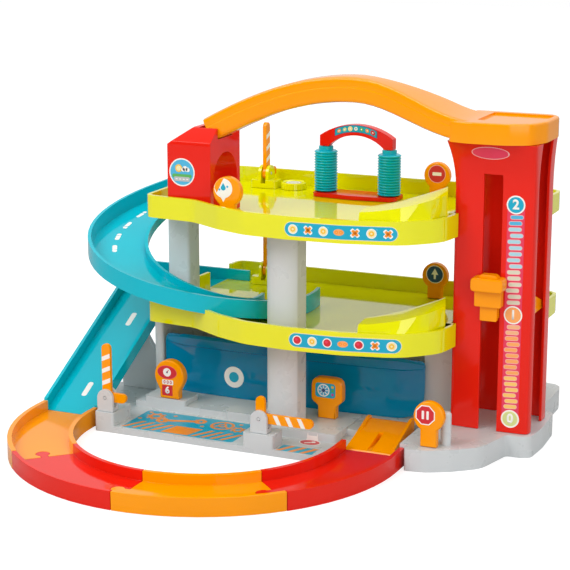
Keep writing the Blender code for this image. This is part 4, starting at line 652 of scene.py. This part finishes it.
class GARAGE_OT_house_and_window(bpy.types.Operator):
    """Prints the round stickers on the gatehouse and on the window, and the band of the wash"""

    bl_idname = "garage.house_and_window"
    bl_label = "Round stickers"

    def execute(self, context):
        # A plain landscape: sun, clouds, a green and a road with its dashes.
        sheet = Print()
        sheet.disc("white", 0, 0, 0, 15.6 * MM, segments=48)
        sheet.disc("sky", 1, 0, 0, 14.2 * MM, segments=48)
        sheet.disc("yellow", 2, -4.0 * MM, 4.4 * MM, 4.4 * MM, segments=12)
        sheet.disc("cream", 3, -4.0 * MM, 4.4 * MM, 2.9 * MM, segments=24)
        for x, y, radius in ((4.0, 4.2, 3.0), (7.2, 3.2, 2.4), (1.6, 3.0, 2.2)):
            sheet.disc("white", 4, x * MM, y * MM, radius * MM, segments=24)
        sheet.bar("green", 3, 0, -4.2 * MM, 24.0 * MM, 4.4 * MM, corner=2.0 * MM)
        sheet.bar("grey", 4, 0, -7.6 * MM, 19.0 * MM, 5.0 * MM, corner=1.0 * MM)
        for i in range(4):
            sheet.bar("white", 5, (-6.6 + 4.4 * i) * MM, -7.6 * MM, 2.4 * MM, 0.9 * MM)
        sheet.lay("gatehouse_sticker", "gatehouse", (-0.1008, -0.0525, 0.2868), FRONT)

        ring = Print()
        ring.ring("white", 0, 0, 0, 12.6 * MM, 6.0 * MM, segments=48)
        ring.disc("white", 1, 0, 0, 7.0 * MM, segments=48)
        ring.disc("teal", 2, 0, 0, 6.2 * MM, segments=48)
        ring.lay(
            "window_sticker", "workshop_window", (-0.0675, 0.0066, 0.0398), FRONT, step=3 * MM
        )

        arch_radius = 0.062
        large, small = 2.9 * MM, 2.2 * MM
        band = Print()
        band.bar("navy", 0, 0, 0, 53 * MM, 8.6 * MM, corner=0.8 * MM)
        band.bar("teal", 1, 0, 0, 51.6 * MM, 7.4 * MM, corner=0.6 * MM)
        for i, ink in enumerate(("orange", "lime", "cream", "white", "green", "orange", "red")):
            x = (-21 + 7 * i) * MM
            band.disc(ink, 2, x, 0, large if i in (2, 6) else small, segments=20)
            band.disc("sky" if ink == "white" else "white", 3, x, 0, 0.9 * MM, segments=12)
        band.lay(
            "wash_band", "wash_arch", (0.033, 0.128, 0.3188), FRONT, step=2 * MM,
            bend=lambda x: math.sqrt(arch_radius**2 - x**2) - arch_radius,
        )
        return {"FINISHED"}


class GARAGE_OT_signs(bpy.types.Operator):
    """Prints the faces of the four signs, the fuel pump and the diagnosis post"""

    bl_idname = "garage.signs"
    bl_label = "Signs and posts"

    def execute(self, context):
        sheet = Print()
        sheet.disc("blush", 0, 0, 0, 10.6 * MM, segments=40)
        sheet.disc("red", 1, 0, 0, 9.9 * MM, segments=40)
        sheet.bar("white", 2, 0, 0, 11.0 * MM, 4.0 * MM, corner=0.9 * MM)
        sheet.lay("no_entry_print", "no_entry_sign", (0.1219, 0.1605, 0.2668), FRONT)

        sheet = Print()
        sheet.disc("white", 0, 0, 0, 10.8 * MM, segments=40)
        sheet.disc("navy", 1, 0, 0, 9.9 * MM, segments=40)
        sheet.bar("white", 2, 0, -1.2 * MM, 2.6 * MM, 9.0 * MM, corner=0.6 * MM)
        sheet.disc("white", 3, 0, 2.2 * MM, 5.0 * MM, segments=3)
        sheet.lay("arrow_print", "arrow_sign", (0.1219, 0.1605, 0.1470), FRONT)

        sheet = Print()
        sheet.disc("white", 0, 0, 0, 11.4 * MM, segments=8, turn=math.pi / 8)
        sheet.disc("red", 1, 0, 0, 10.2 * MM, segments=8, turn=math.pi / 8)
        for x in (-2.6, 2.6):
            sheet.bar("white", 2, x * MM, 0, 2.6 * MM, 9.2 * MM, corner=0.8 * MM)
        sheet.lay("stop_print", "stop_sign", (0.2026, -0.0965, 0.0592), FRONT)

        # A drop of water and two splashes, on a round sign with a point.
        sheet = Print()
        sheet.disc("white", 0, 0, 0, 10.8 * MM, segments=40)
        sheet.disc("white", 1, 0, -8.4 * MM, 6.8 * MM, segments=3, turn=math.pi)
        sheet.disc("teal", 2, 0, 0.4 * MM, 2.9 * MM, segments=24)
        sheet.disc("teal", 3, 0, 3.0 * MM, 2.9 * MM, segments=3)
        sheet.disc("sky", 2, 5.0 * MM, 2.0 * MM, 1.3 * MM, segments=16)
        sheet.disc("sky", 2, -4.6 * MM, -1.6 * MM, 1.3 * MM, segments=16)
        sheet.lay("wash_sign_print", "wash_sign", (-0.0443, -0.065, 0.2752), FRONT)

        # The pump's dial with its hand, its counter and the number of the pump.
        dial, counter, number = 20.0 * MM, 8.2 * MM, -1.6 * MM
        sheet = Print()
        sheet.disc("rose", 0, 0, dial, 12.4 * MM, segments=40, squash=0.64)
        sheet.disc("red", 1, 0, dial, 11.7 * MM, segments=40, squash=0.61)
        sheet.disc("white", 2, 0, dial, 5.0 * MM, segments=32)
        sheet.bar("red", 3, 0.8 * MM, 21.2 * MM, 0.9 * MM, 4.6 * MM, turn=-0.6, corner=0.3 * MM)
        sheet.disc("navy", 3, 0, dial, 1.1 * MM, segments=16)
        sheet.bar("white", 0, 0.6 * MM, counter, 14.0 * MM, 5.6 * MM, corner=0.7 * MM)
        for i in range(3):
            x = (-3.4 + 4.0 * i) * MM
            sheet.digit("red", 1, "0", x, counter, size=5.4 * MM, weight=0.15 * MM)
        sheet.bar("red", 0, 0, number, 13.4 * MM, 12.2 * MM, corner=0.8 * MM)
        sheet.digit("white", 1, "6", 0, number, size=11.5 * MM, weight=0.4 * MM)
        sheet.lay("pump_print", "fuel_pump", (-0.1272, -0.0455, 0.0325), FRONT)

        # The post's display, a wheel with its spokes, and three buttons.
        hub = -2.2 * MM
        sheet = Print()
        sheet.bar("teal", 0, 0, 0, 24.0 * MM, 16.6 * MM, corner=3.4 * MM)
        sheet.disc("white", 1, hub, 0, 7.3 * MM, segments=36)
        sheet.disc("sky", 2, hub, 0, 6.0 * MM, segments=36)
        for i in range(4):
            sheet.bar("white", 3, hub, 0, 11.4 * MM, 0.9 * MM, turn=i * math.pi / 4)
        sheet.disc("navy", 4, hub, 0, 2.2 * MM, segments=20)
        for y, ink in ((4.6, "yellow"), (0.2, "green"), (-4.2, "magenta")):
            sheet.disc(ink, 1, 8.6 * MM, y * MM, 1.6 * MM, segments=16)
        sheet.lay("diagnosis_print", "diagnosis_post", (0.0612, -0.0275, 0.0492), FRONT)
        return {"FINISHED"}


def hazard(sheet, left, right, y, height, pitch):
    """A row of slanting orange stripes, a little narrower than the gaps between them."""
    count = int((right - left) / pitch)
    for i in range(count):
        x = left + (i + 0.5) * (right - left) / count
        sheet.bar("orange", 1, x, y, pitch * 0.46, height, slant=0.55)


def spoke(sheet, layer, x, y, radius, turn, length, width):
    """A bar that points away from a centre, with its middle at the radius."""
    x += radius * math.cos(turn)
    y += radius * math.sin(turn)
    sheet.bar("orange", layer, x, y, length, width, turn=turn)


def gear(sheet, x, y, radius):
    """A plain toothed wheel."""
    sheet.ring("orange", 1, x, y, radius, radius * 0.5)
    for i in range(8):
        spoke(sheet, 1, x, y, radius * 1.1, i * math.pi / 4, radius * 0.4, radius * 0.36)


class GARAGE_OT_floor_mats(bpy.types.Operator):
    """Prints the workshop's mats on the base plate: tools in plain shapes, and hazard stripes"""

    bl_idname = "garage.floor_mats"
    bl_label = "Mats on the base"

    def execute(self, context):
        above_base = 0.007
        mat = Print()
        mat.bar("teal", 0, 0, 0, 137 * MM, 66 * MM, corner=5 * MM)
        for left, right in ((-66, -19), (20, 66)):
            hazard(mat, left * MM, right * MM, -18 * MM, height=25 * MM, pitch=11 * MM)
        mat.bar("orange", 1, 0, -18 * MM, 33 * MM, 25 * MM, slant=0.3)
        gear(mat, -50 * MM, 16 * MM, 9 * MM)
        gear(mat, 56 * MM, 9 * MM, 7 * MM)
        # A spanner with two ring ends.
        mat.bar("orange", 1, -16 * MM, 12 * MM, 42 * MM, 6.5 * MM, turn=0.3, corner=2 * MM)
        for x, y in ((-36.5, 5.6), (4.5, 18.4)):
            mat.ring("orange", 2, x * MM, y * MM, 8.4 * MM, 3.6 * MM, segments=6)
        # A steering wheel with three spokes.
        x, y = 34 * MM, 15 * MM
        mat.ring("orange", 1, x, y, 14 * MM, 10.6 * MM)
        mat.ring("orange", 1, x, y, 5.4 * MM, 2.6 * MM)
        for i in range(3):
            turn = math.pi / 2 + i * 2 * math.pi / 3
            spoke(mat, 2, x, y, 7.8 * MM, turn, length=6.4 * MM, width=2.4 * MM)
        # Loose nuts.
        for x, y in ((-64, 3), (-30, 25), (14, 4), (52, 26), (-62, 27)):
            mat.disc("orange", 1, x * MM, y * MM, 2.6 * MM, segments=6)
        mat.lay("workshop_mat", "base_plate", (-0.0785, -0.0865, above_base), TOP)

        mat = Print()
        mat.bar("teal", 0, 0, 0, 41 * MM, 19 * MM, corner=1.5 * MM)
        hazard(mat, -20 * MM, 20 * MM, 0, height=18.6 * MM, pitch=12.5 * MM)
        mat.lay("gate_mat", "base_plate", (0.0645, -0.1122, above_base), TOP)

        mat = Print()
        mat.disc("white", 0, 0, 0, 12.2 * MM, segments=40, squash=0.72)
        mat.disc("red", 1, 0, 0, 11.0 * MM, segments=40, squash=0.7)
        mat.bar("white", 2, -1.4 * MM, -1.2 * MM, 9 * MM, 2.4 * MM, turn=0.6, corner=1.1 * MM)
        mat.disc("white", 2, 3.4 * MM, 2.2 * MM, 2.6 * MM, segments=6)
        mat.lay("gate_sign", "base_plate", (0.0672, -0.0848, above_base), TOP)
        return {"FINISHED"}


class GARAGE_OT_road_marks(bpy.types.Operator):
    """Prints the ramps' lane dashes, the stripes on the barriers' arms and the service disc"""

    bl_idname = "garage.road_marks"
    bl_label = "Road marks and stripes"

    def execute(self, context):
        up_the_ramp = (TOP[1], -TOP[0])
        above_ramp = 0.12
        for name, x, y in (("lower", -0.2182, -0.0700), ("upper", -0.2186, 0.0366)):
            dash = Print()
            dash.bar("white", 0, 0, 0, 20 * MM, 6.6 * MM, corner=2.6 * MM)
            place = (x, y, above_ramp)
            dash.lay(f"straight_ramp_dash_{name}", "straight_ramp", place, up_the_ramp, step=4 * MM)

        spiral_axis = Vector((-0.1245, 0.050, 0.215))
        lane_radius = 0.106
        for i, angle in enumerate((163, 178, 193, 208)):
            turn = math.radians(angle)
            out = Vector((math.cos(turn), math.sin(turn), 0))
            along = Vector((-out.y, out.x, 0))
            dash = Print()
            dash.bar("white", 0, 0, 0, 15 * MM, 5.4 * MM, corner=2.2 * MM)
            place = spiral_axis + out * lane_radius
            dash.lay(f"spiral_ramp_dash_{i + 1}", "spiral_ramp", place, (along, -out), step=3 * MM)

        # Each arm's place at its pin, the sides that its two faces show to, whether it stands
        # upright at rest, and how far from the pin its stripes are, in millimetres.
        arms = (
            ("ground_left", (-0.16575, -0.1172, 0.0383), (FRONT, REAR), True, (18, 32, 46)),
            ("ground_right", (0.02275, -0.1172, 0.0383), (FRONT, REAR), False, (20, 34, 48)),
            ("level_1", (-0.0906, 0.154, 0.1343), (RIGHT, LEFT), True, (18, 32, 46)),
            ("level_2", (-0.0906, 0.154, 0.2543), (RIGHT, LEFT), True, (18, 32, 46)),
        )
        stripe, arm_width, arm_thickness = 5.0 * MM, 10.2 * MM, 4.8 * MM
        for name, place, sides, stands, spots in arms:
            for face, side, flip, depth in (
                ("a", sides[0], 1, 0.0),
                ("b", sides[1], -1, arm_thickness),
            ):
                stripes = Print()
                for spot in spots:
                    if stands:
                        stripes.bar("white", 0, 0, spot * MM, arm_width, stripe)
                    else:
                        x = flip * spot * MM
                        stripes.bar("white", 0, x, 0, stripe, arm_width, slant=-0.5 * flip)
                if stands:
                    for vert in stripes.bm.verts:
                        vert.co.y += vert.co.x * 0.45 * flip
                start = Vector(place) + side[0].cross(side[1]) * depth
                stripes.lay(f"barrier_{name}_stripes_{face}", f"barrier_arm_{name}", start, side)

        disc = Print()
        disc.disc("grey", 0, 0, 0, 9.4 * MM, segments=36)
        disc.ring("white", 1, 0, 0, 8.0 * MM, 6.6 * MM)
        disc.bar("white", 1, 0, 0, 8.0 * MM, 2.4 * MM, turn=0.7, corner=1.0 * MM)
        low, high = (Vector(v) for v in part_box("service_disc"))
        centre = (low + high) / 2
        disc.lay("service_disc_print", "service_disc", (centre.x, centre.y, high.z), TOP)
        return {"FINISHED"}


class GARAGE_OT_stage(bpy.types.Operator):
    """Sets up the floor, the white room, the lamps and the camera"""

    bl_idname = "garage.stage"
    bl_label = "Studio"

    def execute(self, context):
        scene = context.scene
        look = scene.garage_studio
        white = linear("FFFFFF")

        # The floor is darker than it looks, so that it throws less light up at the pieces. What the
        # camera alone sees on top of that makes it white, and keeps the garage's shadow.
        bm = bmesh.new()
        bmesh.ops.create_grid(bm, x_segments=1, y_segments=1, size=6.0)
        mesh = bpy.data.meshes.new("studio_floor")
        bm.to_mesh(mesh)
        bm.free()
        floor = bpy.data.objects.new("studio_floor", mesh)
        scene.collection.objects.link(floor)
        made, tree, shader = material("white painted studio floor")
        shader.inputs["Base Color"].default_value = linear("B4B4B4")
        shader.inputs["Roughness"].default_value = 0.8
        shader.inputs["Specular IOR Level"].default_value = 0.1
        path = add(tree, "ShaderNodeLightPath")
        bright = add(
            tree, "ShaderNodeMath", {"operation": "MULTIPLY", 1: look.floor},
            {0: path.outputs["Is Camera Ray"]},
        )
        tree.links.new(bright.outputs[0], shader.inputs["Emission Strength"])
        shader.inputs["Emission Color"].default_value = white
        mesh.materials.append(made)

        # The camera and the window see the room as plain white. A gloss sees it dim in front and
        # bright at the rear, and everything else is lit by it evenly.
        world = bpy.data.worlds.new("white room")
        scene.world = world
        world.use_nodes = True
        tree = world.node_tree
        sky = tree.nodes["Background"]
        sky.inputs["Color"].default_value = white
        path = add(tree, "ShaderNodeLightPath")
        seen = add(
            tree, "ShaderNodeMath", {"operation": "MAXIMUM"},
            {0: path.outputs["Is Camera Ray"], 1: path.outputs["Is Transmission Ray"]},
        )
        plain = add(
            tree, "ShaderNodeMapRange", {"To Min": look.sky, "To Max": 1.0},
            {"Value": seen.outputs[0]},
        )
        place = add(tree, "ShaderNodeTexCoord").outputs["Generated"]
        side = add(tree, "ShaderNodeSeparateXYZ", {}, {0: place})
        room = add(
            tree, "ShaderNodeMapRange",
            {"From Min": -0.35, "From Max": 0.3, "To Min": look.front, "To Max": look.rear},
            {"Value": side.outputs["Y"]},
        )
        strength = add(
            tree, "ShaderNodeMix", {"data_type": "FLOAT"},
            {0: path.outputs["Is Glossy Ray"], 2: plain.outputs["Result"],
             3: room.outputs["Result"]},
        )
        tree.links.new(strength.outputs[0], sky.inputs["Strength"])

        # Each lamp's place, share of the key lamp's power, and size.
        lamps = (
            ("key", (-1.1, -1.7, 2.1), 1.0, 1.5),
            ("fill", (1.7, -1.6, 0.9), 0.5, 1.6),
            ("top", (0.2, 0.7, 2.3), 0.4, 1.4),
        )
        target = Vector((0, 0, 0.15))
        for name, place, share, size in lamps:
            lamp = bpy.data.lights.new(name, "AREA")
            lamp.energy = look.key * share
            lamp.size = size
            holder = bpy.data.objects.new(name, lamp)
            holder.location = place
            aim = target - Vector(place)
            holder.rotation_euler = aim.to_track_quat("-Z", "Y").to_euler()
            scene.collection.objects.link(holder)

        camera = bpy.data.cameras.new("camera")
        camera.sensor_width = SENSOR
        camera.lens = SENSOR * FOCAL_PIXELS / FRAME_PIXELS
        holder = bpy.data.objects.new("camera", camera)
        x = look.distance * math.sin(look.turn)
        y = -look.distance * math.cos(look.turn)
        holder.location = (x, y, look.height)
        holder.rotation_euler = (math.pi / 2 - look.tilt, 0, look.turn)
        scene.collection.objects.link(holder)
        scene.camera = holder
        scene.view_settings.view_transform = "Standard"
        return {"FINISHED"}


OPERATORS = (
    GARAGE_OT_shells,
    GARAGE_OT_deck_strips,
    GARAGE_OT_tower_gauge,
    GARAGE_OT_house_and_window,
    GARAGE_OT_signs,
    GARAGE_OT_floor_mats,
    GARAGE_OT_road_marks,
    GARAGE_OT_stage,
)


class GARAGE_PT_panel(bpy.types.Panel):
    """Colours, prints and studio of the toy garage, and the steps that make them"""

    bl_label = "Toy garage"
    bl_idname = "GARAGE_PT_panel"
    bl_space_type = "VIEW_3D"
    bl_region_type = "UI"
    bl_category = "Toy garage"

    def draw(self, context):
        scene = context.scene
        for group in (scene.garage_plastics, scene.garage_prints, scene.garage_studio):
            box = self.layout.box()
            for name in group.__annotations__:
                box.prop(group, name)
        for operator in OPERATORS:
            self.layout.operator(operator.bl_idname)


CLASSES = (GaragePlastics, GaragePrints, GarageStudio, *OPERATORS, GARAGE_PT_panel)


def register():
    for cls in CLASSES:
        bpy.utils.register_class(cls)
    bpy.types.Scene.garage_plastics = PointerProperty(type=GaragePlastics)
    bpy.types.Scene.garage_prints = PointerProperty(type=GaragePrints)
    bpy.types.Scene.garage_studio = PointerProperty(type=GarageStudio)


def unregister():
    del bpy.types.Scene.garage_studio
    del bpy.types.Scene.garage_prints
    del bpy.types.Scene.garage_plastics
    for cls in reversed(CLASSES):
        bpy.utils.unregister_class(cls)


def main():
    register()
    bpy.ops.garage.stage()
    bpy.ops.garage.shells()
    bpy.ops.garage.deck_strips()
    bpy.ops.garage.tower_gauge()
    bpy.ops.garage.house_and_window()
    bpy.ops.garage.signs()
    bpy.ops.garage.floor_mats()
    bpy.ops.garage.road_marks()


if __name__ == "__main__":
    main()
